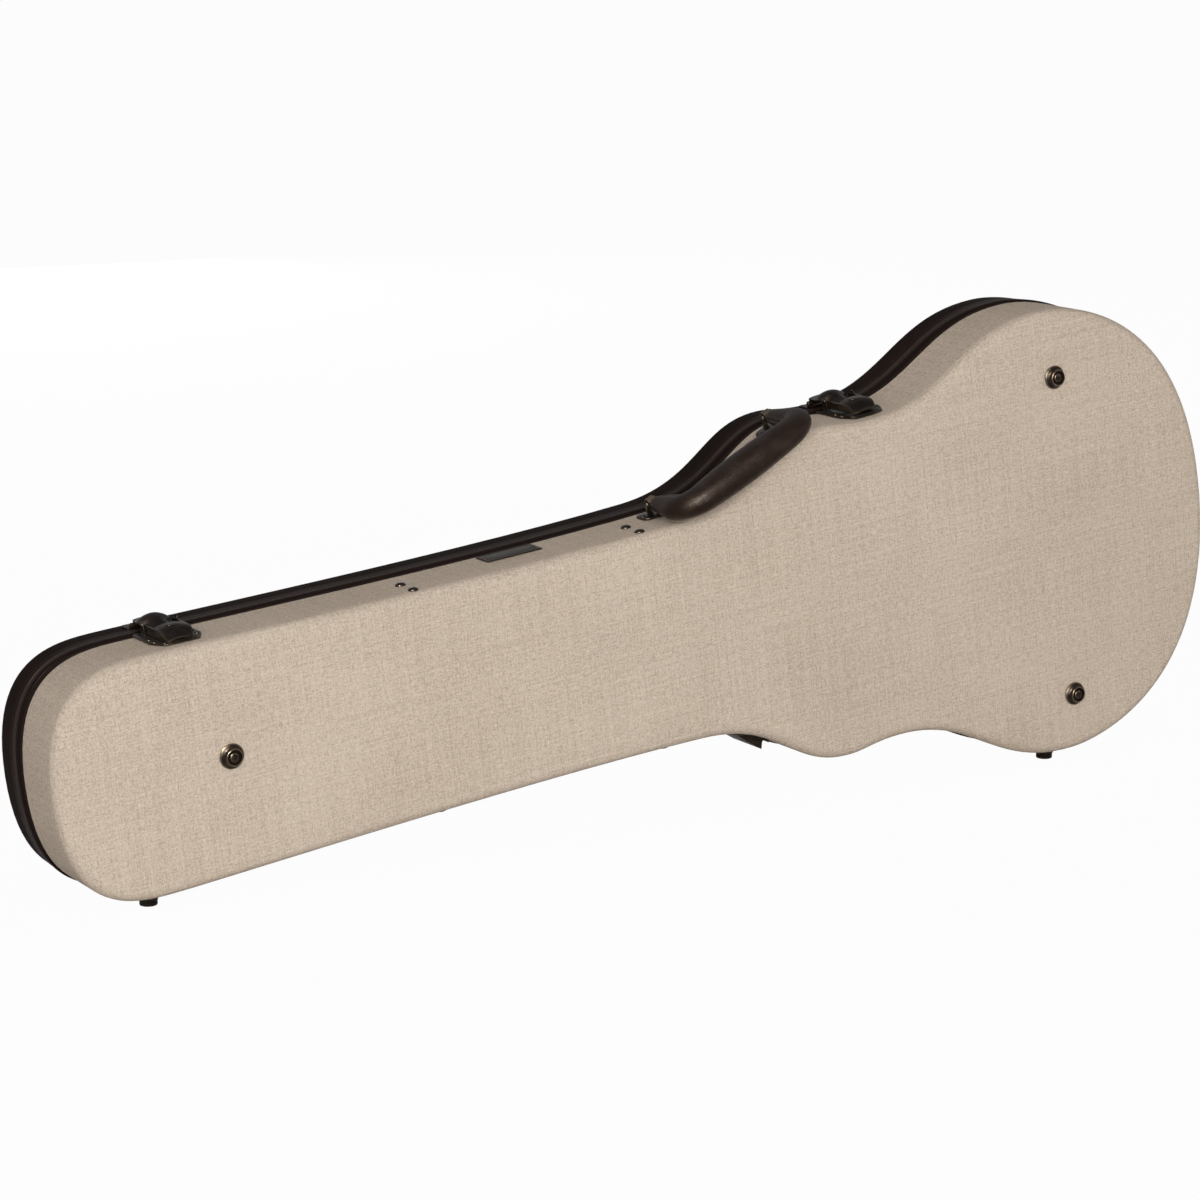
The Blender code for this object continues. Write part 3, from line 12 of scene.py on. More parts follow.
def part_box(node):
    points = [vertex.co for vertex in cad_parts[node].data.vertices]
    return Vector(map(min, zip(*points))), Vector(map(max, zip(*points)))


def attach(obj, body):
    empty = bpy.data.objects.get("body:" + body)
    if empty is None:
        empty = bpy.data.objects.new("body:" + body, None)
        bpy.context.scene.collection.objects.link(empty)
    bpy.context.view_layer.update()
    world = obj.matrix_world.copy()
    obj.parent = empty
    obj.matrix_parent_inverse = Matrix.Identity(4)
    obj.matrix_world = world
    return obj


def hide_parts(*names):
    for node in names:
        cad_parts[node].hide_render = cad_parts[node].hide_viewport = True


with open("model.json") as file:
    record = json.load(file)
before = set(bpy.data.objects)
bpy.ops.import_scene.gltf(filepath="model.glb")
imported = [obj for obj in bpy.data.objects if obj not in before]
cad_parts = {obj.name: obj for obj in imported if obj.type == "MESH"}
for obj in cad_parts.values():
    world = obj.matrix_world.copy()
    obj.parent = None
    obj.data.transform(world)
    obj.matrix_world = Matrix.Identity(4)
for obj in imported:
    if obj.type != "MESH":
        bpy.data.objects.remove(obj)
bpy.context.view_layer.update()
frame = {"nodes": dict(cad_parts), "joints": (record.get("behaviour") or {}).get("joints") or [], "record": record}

stand = {"place": (-0.534202, -0.044275, 0.091397), "tilt": 6.773128}   # as the solids stand
gap = 0.0003      # between neighbours that don't move
weld = 0.000002   # points closer than this are one
caseSpace = Matrix.Translation(stand["place"]) @ Matrix.Rotation(math.radians(-stand["tilt"]), 4, "Y")


# Shader helpers

def linear(share):   # one screen value as the shader wants it
    return share / 12.92 if share <= 0.04045 else ((share + 0.055) / 1.055) ** 2.4


def tone(red, green, blue):   # a given colour, each 0 to 255
    return linear(red / 255), linear(green / 255), linear(blue / 255), 1.0


class Wire:   # a socket that takes part in sums
    def __init__(self, nodes, socket):
        self.nodes, self.socket = nodes, socket

    def sum(self, kind, *values):
        return self.nodes.node("Math", {"operation": kind}, *values)

    def __add__(self, other):
        return self.sum("ADD", self, other)

    def __radd__(self, other):
        return self.sum("ADD", other, self)

    def __sub__(self, other):
        return self.sum("SUBTRACT", self, other)

    def __rsub__(self, other):
        return self.sum("SUBTRACT", other, self)

    def __mul__(self, other):
        return self.sum("MULTIPLY", self, other)

    def __rmul__(self, other):
        return self.sum("MULTIPLY", other, self)

    def wave(self):
        return self.sum("SINE", self)

    def most(self, other):
        return self.sum("MAXIMUM", self, other)

    def part(self, k):
        return self.nodes.node("SeparateXYZ", {}, self, out=k)

    def step(self, low, high):   # 0 below low, 1 above high, smooth between
        return self.nodes.node("MapRange", {"interpolation_type": "SMOOTHSTEP"}, self, low, high, 0.0, 1.0)


class Nodes:   # the nodes of one material or world
    def __init__(self, tree):
        self.tree = tree

    def feed(self, socket, value):
        if isinstance(value, Wire):
            self.tree.links.new(value.socket, socket)
        elif value is not None:
            socket.default_value = value

    def node(self, kind, settings, *values, out=0, **named):
        made = self.tree.nodes.new("ShaderNode" + kind)
        for key, value in settings.items():
            setattr(made, key, value)
        for key, value in [*enumerate(values), *named.items()]:
            self.feed(made.inputs[key], value)
        return Wire(self, made.outputs[out])


class Paint(Nodes):   # one material
    def __init__(self, name, **fixed):
        self.material = bpy.data.materials.new(name)
        self.material.use_nodes = True
        super().__init__(self.material.node_tree)
        self.shader = self.tree.nodes["Principled BSDF"]
        for key, value in fixed.items():
            self.shader.inputs[key.replace("_", " ")].default_value = value

    def place(self):
        return self.node("TexCoord", {}, out=3)

    def noise(self, vector, scale, detail=2.0, rough=0.5):   # one scale, or one for each direction
        if isinstance(scale, tuple):
            vector, scale = self.node("VectorMath", {"operation": "MULTIPLY"}, vector, scale), 1.0
        return self.node("TexNoise", {}, Vector=vector, Scale=scale, Detail=detail, Roughness=rough)

    def between(self, low, high, soft=0.0003):   # 1 where the case's depth lies between two values
        depth = self.place().part(1) - stand["place"][1]
        return depth.step(low - soft, low + soft) * (1.0 - depth.step(high - soft, high + soft))

    def blend(self, first, second, share):   # the Mix node's colours are its sockets 6 and 7
        return self.node("Mix", {"data_type": "RGBA"}, share, *[None] * 5, first, second, out=2)

    def finish(self, colour, height, depth, strength, rough=None):
        bump = self.node("Bump", {}, Height=height, Distance=depth, Strength=strength)
        for key, value in (("Base Color", colour), ("Roughness", rough), ("Normal", bump)):
            self.feed(self.shader.inputs[key], value)
        return self.material


# Finishes

warm = (1.0, 0.8, 0.66, 1.0)   # tint of the sheen
linen = {"ground": tone(199, 183, 166), "shade": tone(174, 158, 141), "light": tone(212, 197, 180),
         "slub": tone(120, 105, 90), "pitch": 0.0013, "yarns": ((1050.0, 150.0, 1.0), (150.0, 1050.0, 1.0)),
         "streaks": ((480.0, 9.0, 1.0), (9.0, 480.0, 1.0)), "slubs": (420.0, 700.0, 1.0), "mottle": 620.0,
         "broad": 7.0, "darkStrip": (0.0587, 0.07),   # depths between which a dark strip is painted on the cloth under the rim
         "contrast": {"yarn": 1.8, "mottle": 1.2, "streak": 0.75, "broad": 0.3, "threads": 0.15}}
# the lightest tone is a highlight painted along the mouth of the mouldings, between the two depths that follow it
trim = {"dark": tone(31, 21, 18), "worn": tone(44, 31, 26), "rubbedAndHighlight": tone(66, 52, 46),
        "line": (0.0715, 0.0772), "rough": 0.32}


def linenCloth():
    paint = Paint("coarseLinen", Roughness=0.9, Specular_IOR_Level=0.1, Specular_Tint=warm)
    uv = paint.node("UVMap", {"uv_map": "cloth"})
    across, along = uv.part(0), uv.part(1)
    warp = (across * (math.pi / linen["pitch"])).wave()
    weft = (along * (math.pi / linen["pitch"])).wave()
    crossing = warp * weft
    threads = (warp * warp).most(weft * weft) * 0.6 + crossing * 0.4
    yarns = [paint.noise(uv, scale, 2.0, 0.6) for scale in linen["yarns"]]
    streaks = [paint.noise(uv, scale, 1.0) for scale in linen["streaks"]]
    yarn, streak = (yarns[0] + yarns[1]) * 0.5, (streaks[0] + streaks[1]) * 0.5
    mottle = paint.noise(uv, linen["mottle"], 2.0, 0.6)
    broad = paint.noise(uv, linen["broad"])
    much = linen["contrast"]
    value = ((yarn - 0.5) * much["yarn"] + (mottle - 0.5) * much["mottle"] + (streak - 0.5) * much["streak"]
             + (broad - 0.5) * much["broad"] + (threads - 0.5) * much["threads"] + 0.5)
    colour = paint.blend(linen["shade"], linen["ground"], value.step(0.15, 0.6))
    colour = paint.blend(colour, linen["light"], value.step(0.55, 0.9))
    slubs = paint.noise(uv, linen["slubs"], 1.0).step(0.74, 0.8)
    colour = paint.blend(colour, linen["slub"], slubs * 0.45)
    colour = paint.blend(colour, trim["dark"], paint.between(*linen["darkStrip"]))   # a dark strip painted on the cloth just under the rim
    height = threads * 0.6 + yarn * 0.8 + mottle * 0.4
    return paint.finish(colour, height, 0.0004, 0.4)


band = {"colour": tone(31, 22, 19), "worn": tone(46, 33, 28), "rough": (0.45, 0.6)}


def coatedBand():
    paint = Paint("coatedBand", Specular_IOR_Level=0.02, Specular_Tint=warm)
    place = paint.place()
    grain = paint.noise(place, 900.0, 3.0, 0.6)
    pebble = paint.node("TexVoronoi", {"feature": "SMOOTH_F1"}, Vector=place, Scale=700.0)
    broad = paint.noise(place, 14.0, 3.0, 0.6)
    worn = broad.step(0.45, 0.75) * 0.5 + grain.step(0.55, 0.8) * 0.3
    colour = paint.blend(band["colour"], band["worn"], worn)
    low, high = band["rough"]
    return paint.finish(colour, pebble * 0.7 + grain * 0.4, 0.00025, 0.6, broad * (high - low) + low)


def smoothCoat(name, colour, worn, rough, line=None):   # for the mouldings and for waxed thread
    paint = Paint(name, Specular_IOR_Level=0.03, Specular_Tint=warm)
    place = paint.place()
    broad = paint.noise(place, 22.0, 4.0, 0.6)
    fine = paint.noise(place, 420.0)
    colour = paint.blend(colour, worn, broad.step(0.5, 0.8) * 0.6)
    if line:   # painted highlight: a lighter band along the mouth, where the beads would catch the light
        colour = paint.blend(colour, trim["rubbedAndHighlight"], paint.between(*line, 0.0006) * 0.8)
    return paint.finish(colour, fine, 0.00008, 0.4, broad * 0.18 + (rough - 0.05))


bronze = {"dark": tone(37, 29, 23), "brown": tone(64, 52, 39), "bare": tone(168, 150, 122)}
blackened = {"dark": tone(26, 19, 16), "brown": tone(42, 32, 26), "bare": tone(104, 88, 70)}


def agedBronze(name="agedBronze", bronze=bronze):
    paint = Paint(name, Metallic=0.85, Coat_Weight=0.16, Coat_Roughness=0.06)
    place = paint.place()
    patina = paint.noise(place, 120.0, 5.0, 0.65)
    speck = paint.noise(place, 900.0, 2.0, 0.6)
    edge = paint.node("NewGeometry", {}, out=7).step(0.515, 0.56)   # worn bright where the metal is sharp
    colour = paint.blend(bronze["dark"], bronze["brown"], patina.step(0.4, 0.7))
    colour = paint.blend(colour, bronze["bare"], edge * 0.3 + speck.step(0.68, 0.75) * 0.15)
    rough = patina * 0.3 + speck * 0.1 + 0.2 - edge * 0.08
    height = patina * 0.5 + speck * 0.5
    return paint.finish(colour, height, 0.00012, 0.5, rough)


leather = {"dark": tone(31, 20, 16), "light": tone(56, 42, 35)}


def handleLeather():
    paint = Paint("handleLeather", Specular_IOR_Level=0.19, Specular_Tint=warm)
    place = paint.place()
    cells = paint.node("TexVoronoi", {"feature": "DISTANCE_TO_EDGE"}, Vector=place, Scale=520.0)
    pores = cells.step(0.0, 0.25)
    crease = paint.noise(place, 60.0, 4.0, 0.6)
    fine = paint.noise(place, 700.0)
    rubbedAndHighlight = crease.step(0.45, 0.75) * 0.6 + fine.step(0.5, 0.8) * 0.2
    colour = paint.blend(leather["dark"], leather["light"], rubbedAndHighlight)
    height = pores * 0.6 + crease * 0.9 + fine * 0.2
    return paint.finish(colour, height, 0.0003, 0.6, crease * 0.2 + 0.28)


plush = {"deep": tone(86, 22, 31), "nap": tone(142, 50, 61), "sheen": tone(170, 92, 100)}
ribbon = {"deep": tone(60, 14, 22), "nap": tone(98, 28, 38), "sheen": tone(124, 52, 60)}


def plushPile(name="winePlush", colours=plush):
    paint = Paint(name, Roughness=0.95, Sheen_Weight=0.6, Sheen_Roughness=0.4, Specular_IOR_Level=0.1)
    place = paint.place()
    pile = paint.noise(place, 1300.0, 2.0, 0.6)
    brushed = paint.noise(place, 26.0, 4.0, 0.6)
    nap = pile.step(0.3, 0.7) * 0.6 + brushed.step(0.35, 0.7) * 0.5
    colour = paint.blend(colours["deep"], colours["nap"], nap)
    colour = paint.blend(colour, colours["sheen"], brushed.step(0.6, 0.85) * 0.25)
    return paint.finish(colour, pile * 0.8 + brushed * 0.6, 0.0006, 0.6)


wood = {"pale": tone(196, 160, 116), "grain": tone(150, 112, 74), "rough": 0.55,
        "grainScale": (14.0, 260.0, 30.0), "poreScale": (60.0, 1500.0, 120.0)}


def plywood():
    paint = Paint("barePlywood", Specular_IOR_Level=0.35)
    place = paint.place()
    grain = paint.noise(place, wood["grainScale"], 5.0, 0.62)
    pore = paint.noise(place, wood["poreScale"])
    dark = grain.step(0.35, 0.7) * 0.8 + pore.step(0.6, 0.8) * 0.2
    colour = paint.blend(wood["pale"], wood["grain"], dark)
    return paint.finish(colour, grain * 0.5 + pore, 0.00015, 0.5, grain * 0.2 + (wood["rough"] - 0.1))


finishes = {   # by material slot, and two for detail that shares one
    "linen_cloth": linenCloth(),
    "dark_band": coatedBand(),
    "dark_rim": smoothCoat("rimMoulding", trim["dark"], trim["worn"], trim["rough"], trim["line"]),
    "antique_bronze": agedBronze(),
    "blackened": agedBronze("blackenedBronze", blackened),
    "handle_leather": handleLeather(),
    "plush": plushPile(),
    "ribbon": plushPile("wineRibbon", ribbon),
    "lining_wood": plywood(),
    "thread": smoothCoat("waxedThread", tone(70, 56, 44), tone(92, 76, 60), 0.5),
}
print("finishes made:", len(finishes))


# The smooth outline of the wall

outline = {"length": 1.075, "neckEnd": 0.0925, "neckCorner": 0.086, "shoulder": (0.552, 0.0905),
           "slope": 0.04, "upperBout": (0.691, 0.1399), "waist": (0.739, 0.1356),
           "lowerBout": (0.918, 0.1918), "steps": (24, 14, 26, 12, 24, 34),
           "pull": (0.386, 0.104, 0.332, 0.553, 0.404, 0.316, 0.503, 0.453, 0.467, 0.234, 0.877)}


def halfOutline():
    o = outline
    end, corner = Vector((0, 0)), Vector((o["neckCorner"], o["neckEnd"]))
    shoulder, upper = Vector(o["shoulder"]), Vector(o["upperBout"])
    waist, lower = Vector(o["waist"]), Vector(o["lowerBout"])
    tail = Vector((o["length"], 0))
    along, across, slope = Vector((1, 0)), Vector((0, 1)), Vector((1, o["slope"]))
    neck, flank, dip = shoulder.x - corner.x, upper.x - shoulder.x, waist.x - upper.x
    swell, roundOff = lower.x - waist.x, tail.x - lower.x
    pull = o["pull"]   # how far each curve keeps its end directions, as shares of its span
    curves = (
        (end, end + across * corner.y, corner - along * pull[0] * corner.x, corner),
        (corner, corner + along * pull[1] * neck, shoulder - slope * pull[2] * neck, shoulder),
        (shoulder, shoulder + slope * pull[3] * flank, upper - along * pull[4] * flank, upper),
        (upper, upper + along * pull[5] * dip, waist - along * pull[6] * dip, waist),
        (waist, waist + along * pull[7] * swell, lower - along * pull[8] * swell, lower),
        (lower, lower + along * pull[9] * roundOff, tail + across * pull[10] * lower.y, tail))
    points = []
    for (p0, p1, p2, p3), steps in zip(curves, o["steps"]):
        for k in range(steps):
            t = k / steps
            s = 1 - t
            points.append(p0 * s**3 + p1 * (3 * s * s * t) + p2 * (3 * s * t * t) + p3 * t**3)
    return points + [tail]


half = halfOutline()
wall = half + [Vector((p.x, -p.y)) for p in reversed(half[1:-1])]
wallOut = []
for k, here in enumerate(wall):
    before, after = here - wall[k - 1], wall[(k + 1) % len(wall)] - here
    n1, n2 = Vector((-before.y, before.x)).normalized(), Vector((-after.y, after.x)).normalized()
    wallOut.append((n1 + n2) / (1 + n1.dot(n2)))
wallRun = [0.0]
for a, b in zip(wall, wall[1:] + wall[:1]):
    wallRun.append(wallRun[-1] + (b - a).length)


def runAt(u):   # distance along the upper wall, from the neck end, of the place at u
    k = next(k for k in range(1, len(half)) if half[k].x >= u)
    share = (u - half[k - 1].x) / (half[k].x - half[k - 1].x)
    return wallRun[k - 1] + share * (wallRun[k] - wallRun[k - 1])


def onWall(run, depth, height=0.0, side=1):   # point at a distance along the upper or lower (-1) wall
    run = run % wallRun[-1]
    k = max(i for i in range(len(wall)) if wallRun[i] <= run)
    share = (run - wallRun[k]) / (wallRun[k + 1] - wallRun[k])
    j = (k + 1) % len(wall)
    flat = wall[k].lerp(wall[j], share) + wallOut[k].lerp(wallOut[j], share) * height
    return Vector((flat.x, depth, side * flat.y))


# Mesh helpers

def moved(bm, matrix):
    bmesh.ops.transform(bm, matrix=matrix, verts=bm.verts[:])
    return bm


def facesOut(bm):
    bmesh.ops.recalc_face_normals(bm, faces=bm.faces[:])
    return bm


def extrudeLoop(bm, edges, move):   # draws a loop of edges on to its next place, station by station
    station = bm.verts.layers.int["station"]
    made = bmesh.ops.extrude_edge_only(bm, edges=edges)["geom"]
    fresh = {v for v in made if isinstance(v, bmesh.types.BMVert)}
    for v in fresh:
        v.co = move(v[station])
    return [e for e in made if isinstance(e, bmesh.types.BMEdge) and all(v in fresh for v in e.verts)]


def startLoop(bm, count, place):
    station = bm.verts.layers.int.get("station") or bm.verts.layers.int.new("station")
    verts = []
    for k in range(count):
        v = bm.verts.new(place(k))
        v[station] = k
        verts.append(v)
    return [bm.edges.new((verts[k], verts[(k + 1) % count])) for k in range(count)]


def wallAt(inset, depth):
    return lambda k: Vector((wall[k].x - wallOut[k].x * inset, depth, wall[k].y - wallOut[k].y * inset))


def sweepWall(bm, profile, closed=False):   # a section, as (inset, depth), drawn right round the wall
    first = edges = startLoop(bm, len(wall), wallAt(*profile[0]))
    for inset, depth in profile[1:]:
        edges = extrudeLoop(bm, edges, wallAt(inset, depth))
    if closed:
        extrudeLoop(bm, edges, wallAt(*profile[0]))
    return first, edges


def clothMap(bm):   # lays the cloth: flat on the faces, and along and up on the walls
    station, uv = bm.verts.layers.int["station"], bm.loops.layers.uv.new("cloth")
    for face in bm.faces:
        flat = abs(face.normal.y) > 0.75
        wraps = max(loop.vert[station] for loop in face.loops) == len(wall) - 1   # back to the start
        for loop in face.loops:
            co, k = loop.vert.co, loop.vert[station]
            run = wallRun[-1] if wraps and k == 0 else wallRun[k]
            loop[uv].uv = (co.x, co.z) if flat else (run, co.y)


def arcPoints(centre, radius, start, sweep, steps, high=None):   # high makes an ellipse of it
    turns = [math.radians(start + sweep * k / steps) for k in range(steps + 1)]
    high = high or radius
    return [(centre[0] + radius * math.cos(a), centre[1] + high * math.sin(a)) for a in turns]


def meshOf(name, bm):
    mesh = bpy.data.meshes.new(name)
    bm.to_mesh(mesh)
    bm.free()
    return mesh


def added(name, data):   # a new object in the scene
    made = bpy.data.objects.new(name, data)
    bpy.context.scene.collection.objects.link(made)
    return made


def join(bm, other, place=Matrix()):   # adds one bmesh to another
    mesh = meshOf("joined", moved(other, place))
    bm.from_mesh(mesh)
    bpy.data.meshes.remove(mesh)
    return bm


def spun(profile, steps=24):   # a profile of (radius, height) turned about Z
    bm = bmesh.new()
    verts = [bm.verts.new((radius, 0.0, height)) for radius, height in profile]
    edges = [bm.edges.new(pair) for pair in zip(verts, verts[1:])]
    bmesh.ops.spin(bm, geom=verts + edges, cent=(0, 0, 0), axis=(0, 0, 1), angle=2 * math.pi, steps=steps,
                   use_merge=True)
    bmesh.ops.remove_doubles(bm, verts=bm.verts[:], dist=weld)
    return facesOut(bm)


def slab(points, low, high):   # an outline in X and Y, thick along Z
    bm = bmesh.new()
    verts = [bm.verts.new((x, y, low)) for x, y in points]
    edges = [bm.edges.new((verts[k - 1], verts[k])) for k in range(len(verts))]
    face = bmesh.ops.contextual_create(bm, geom=edges)["faces"]
    made = bmesh.ops.extrude_face_region(bm, geom=face, use_keep_orig=True)["geom"]
    raised = [v for v in made if isinstance(v, bmesh.types.BMVert)]
    bmesh.ops.translate(bm, vec=(0, 0, high - low), verts=raised)
    return facesOut(bm)


def loft(rings):   # closed rings of points, joined one to the next and closed at both ends
    bm = bmesh.new()
    first = edges = startLoop(bm, len(rings[0]), lambda k: rings[0][k])
    for ring in rings[1:]:
        edges = extrudeLoop(bm, edges, lambda k, ring=ring: ring[k])
    for loop in (first, edges):
        bmesh.ops.contextual_create(bm, geom=loop)
    return facesOut(bm)


def roundEdges(bm, width, segments=2, sharp=35.0):
    edges = [e for e in bm.edges if e.is_manifold and e.calc_face_angle() > math.radians(sharp)]
    bmesh.ops.bevel(bm, geom=edges, offset=width, offset_type="OFFSET", segments=segments, profile=0.5,
                    affect="EDGES", material=-1, clamp_overlap=True)
    return bm


def bent(bm, run, side=1, every=0.004):   # lays a flat plate, X along and Z out, on the wall
    reach = max(abs(v.co.x) for v in bm.verts)
    cuts = int(reach / every)
    for k in range(-cuts, cuts + 1):
        bmesh.ops.bisect_plane(bm, geom=bm.verts[:] + bm.edges[:] + bm.faces[:], plane_co=(k * every, 0, 0),
                               plane_no=(1, 0, 0), dist=0.00001)
    for v in bm.verts:
        v.co = onWall(run + v.co.x, v.co.y, v.co.z, side)
    return bm


def upright(base, axis):   # place with Z along the axis
    place = Vector(axis).to_track_quat("Z", "Y").to_matrix().to_4x4()
    place.translation = base
    return place


def turned(x, y, z, place):   # the place with these axes
    matrix = Matrix((x, y, z)).transposed().to_4x4()
    matrix.translation = place
    return matrix


def outward(run, side=1):
    return (onWall(run, 0.0, 0.01, side) - onWall(run, 0.0, 0.0, side)).normalized()


def domeProfile(radius, rise, base=0.0, steps=6):
    sunk = base - 0.0004
    return [(0.0, sunk), (radius, sunk)] + arcPoints((0.0, base), radius, 0, 90, steps, rise)


def rod(start, end, radius, steps=16, soft=0.0003):
    span = (Vector(end) - Vector(start)).length
    profile = [(0.0, 0.0), (radius - soft, 0.0), (radius, soft), (radius, span - soft),
               (radius - soft, span), (0.0, span)]
    return moved(spun(profile, steps), upright(start, Vector(end) - Vector(start)))


def rounded(halfX, lowY, highY, corner, steps=5):   # outline of a rectangle with round corners
    points = []
    corners = (halfX, lowY, -90), (halfX, highY, 0), (-halfX, highY, 90), (-halfX, lowY, 180)
    for cx, cy, start in corners:
        centre = (cx - math.copysign(corner, cx), cy + (corner if cy == lowY else -corner))
        points += arcPoints(centre, corner, start, 90, steps)
    return points


def wallPlate(run, half, low, high, corner, top, soft, base=gap, side=1, steps=5):
    return bent(roundEdges(slab(rounded(half, low, high, corner, steps), base, top), soft), run, side)


def piece(name, bm, slot, body, replaced=(), smooth=30.0, finish=None, fix=True):
    bmesh.ops.remove_doubles(bm, verts=bm.verts[:], dist=weld)
    if fix:
        facesOut(bm)
    mesh = meshOf(name, moved(bm, caseSpace))
    mesh.materials.append(finishes[finish or slot])
    mesh.shade_smooth()
    mesh.set_sharp_from_angle(angle=math.radians(smooth))
    made = added(name, mesh)
    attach(made, body)
    if replaced:
        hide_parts(*replaced)


def metal(name, bm, body, *replaced, finish="blackened", smooth=30.0):
    piece(name, bm, "antique_bronze", body, replaced, smooth, finish)


# Base shell and rims

shell = {"wallTop": 0.064, "sheet": 0.005, "edge": 0.0095, "edgeSteps": 7, "middle": 0.03}


def baseShell():
    s = shell
    profile = arcPoints((s["edge"], s["edge"]), s["edge"], -90, -90, s["edgeSteps"])
    profile += [(0.0, s["middle"]), (0.0, s["wallTop"]), (s["sheet"], s["wallTop"]), (s["sheet"], s["edge"]),
                (s["edge"], s["sheet"])]
    bm = bmesh.new()
    for loop in sweepWall(bm, profile):
        bmesh.ops.contextual_create(bm, geom=loop)
    clothMap(facesOut(bm))
    piece("linenShell", bm, "linen_cloth", "base", ["base_shell"])


rims = {"proud": 0.0006, "beadProud": 0.0015, "beadHalf": 0.0034, "parting": 0.075, "lidTop": 0.0837,
        "tongue": 0.0045, "tongueOut": 0.0044, "inside": 0.0066, "leg": 0.008, "clearance": 0.0004,
        "chamfer": 0.0004, "topChamfer": 0.0005}


def rimMouldings():
    r, edge = rims, rims["chamfer"]
    low = shell["wallTop"] + gap
    middle = low + r["beadHalf"] + gap
    bead = arcPoints((-r["proud"], middle), r["proud"] - r["beadProud"], -90, 180, 8, r["beadHalf"])
    step = r["parting"] + r["tongue"]
    inner = shell["sheet"] + gap
    bm = bmesh.new()
    tongue = [(r["tongueOut"], r["parting"]), (r["tongueOut"], step - edge), (r["tongueOut"] + edge, step)]
    leg = [(r["inside"], step), (r["inside"], low - r["leg"]), (inner, low - r["leg"]), (inner, low)]
    sweepWall(bm, bead + [(-r["proud"], r["parting"] - edge), (-r["proud"] + edge, r["parting"])] + tongue
              + leg, closed=True)
    piece("baseMoulding", bm, "dark_rim", "base", ["base_rim"])
    low = r["parting"] + gap
    roof = step + 2 * r["clearance"]
    groove = r["tongueOut"] - r["clearance"]
    bm = bmesh.new()
    top, out = r["lidTop"], -r["proud"]
    sweepWall(bm, [(out + edge, low), (groove, low), (groove, roof), (r["inside"], roof),
                   (r["inside"], top + r["leg"]), (inner, top + r["leg"]), (inner, top), (out + edge, top),
                   (out, top - r["topChamfer"]), (out, low + edge)], closed=True)
    piece("lidMoulding", bm, "dark_rim", "lid", ["lid_rim"])


# Lid: dark band and arched top

lid = {"straight": 0.0992, "edge": 0.105, "edgeInset": 0.01, "panel": 0.004, "arch": 0.016,
       "neckShare": 0.62, "cornerPower": 1.15, "cornerSteps": 8, "ridge": (0.9, 0.15), "loops": 14}


def lidBand():
    bottom = rims["lidTop"] + gap
    shelf = lid["edge"] - lid["panel"] - 2 * gap
    corner = []
    for k in range(lid["cornerSteps"] + 1):
        angle = 0.5 * math.pi * k / lid["cornerSteps"]
        corner.append((lid["edgeInset"] * (1 - math.cos(angle)) ** lid["cornerPower"],
                       lid["straight"] + (lid["edge"] - lid["straight"]) * math.sin(angle)))
    past, sheet = lid["edgeInset"] + shell["sheet"], shell["sheet"]
    inner = [(lid["edgeInset"], shelf), (past, shelf), (past, shelf - lid["panel"]),
             (sheet, shelf - lid["panel"]), (sheet, bottom)]
    bm = bmesh.new()
    sweepWall(bm, [(0.0, bottom)] + corner + inner, closed=True)
    piece("lidSideBand", bm, "dark_band", "lid", ["lid_band"])


def smoothShare(x):
    x = min(max(x, 0.0), 1.0)
    return x * x * (3 - 2 * x)


# A loop of the arched lid, a share of the way from its edge to the ridge along the centre line
def domeAt(inset, share, depth, arch=lid["arch"]):
    bout = outline["lowerBout"][0]
    low = lid["ridge"][0] * outline["neckCorner"]
    high = bout + lid["ridge"][1] * (outline["length"] - bout)
    start, full = outline["shoulder"][0], outline["upperBout"][0]

    def place(k):
        edge = wall[k] - wallOut[k] * inset
        top = Vector((min(max(wall[k].x, low), high), 0.0))
        rise = lid["neckShare"] + (1 - lid["neckShare"]) * smoothShare((top.x - start) / (full - start))
        flat = edge.lerp(top, share)
        return Vector((flat.x, depth + arch * rise * (1 - (1 - share) ** 2), flat.y))
    return place


def closeOver(bm, edges, shares, inset, depth, arch=lid["arch"]):   # from a loop of edges to the ridge
    for share in shares:
        edges = extrudeLoop(bm, edges, domeAt(inset, share, depth, arch))


def lidTop():
    inset, under = lid["edgeInset"] + gap, lid["edge"] - lid["panel"]
    bm = bmesh.new()
    edges = startLoop(bm, len(wall), domeAt(inset, 0.0, under))
    closeOver(bm, edges, [k / lid["loops"] for k in range(lid["loops"] + 1)], inset, lid["edge"])
    closeOver(bm, edges, (0.2, 0.5, 1.0), inset, under)
    clothMap(facesOut(bm))
    piece("linenLidTop", bm, "linen_cloth", "lid", ["lid_top"])


baseShell()
rimMouldings()
lidBand()
lidTop()
print("shell and lid made")


# Places read from the frame, in case space

joints = {joint["name"]: joint for joint in frame["joints"]}
toCase = caseSpace.inverted()


def jointPlace(name):
    joint = joints[name]
    return toCase @ Vector(joint["pos_m"]), (toCase.to_3x3() @ Vector(joint["axis"])).normalized()


def caseBox(node):   # a solid's box in case space
    made = frame["nodes"][node]
    points = [toCase @ (made.matrix_world @ v.co) for v in made.data.vertices]
    return [min(p[k] for p in points) for k in range(3)], [max(p[k] for p in points) for k in range(3)]


# Draw latches

latch = {"pivot": (0.056, 0.009), "linkPivot": (0.044, 0.0052), "sheet": 0.0012, "steps": 8}
latchRuns = {"neck": runAt(0.122), "waist": runAt(0.745), "tail": runAt(1.06)}
sideways = Matrix(((0, 0, 1, 0), (1, 0, 0, 0), (0, 1, 0, 0), (0, 0, 0, 1)))   # X, Y, Z become Y, Z, X


def latchPlace(which):   # X along the wall, Y the depth, Z outwards
    pivot, axis = jointPlace("lever_hinge_" + which)
    x, y = -axis, Vector((0, 1, 0))
    z = x.cross(y)
    return turned(x, y, z, pivot - y * latch["pivot"][0] - z * latch["pivot"][1])


def rivetsOn(bm, run, spots, height, radius, side=1):
    for x, depth in spots:
        base = onWall(run + x, depth, height, side)
        join(bm, spun(domeProfile(radius, 0.5 * radius)), upright(base, outward(run + x, side)))


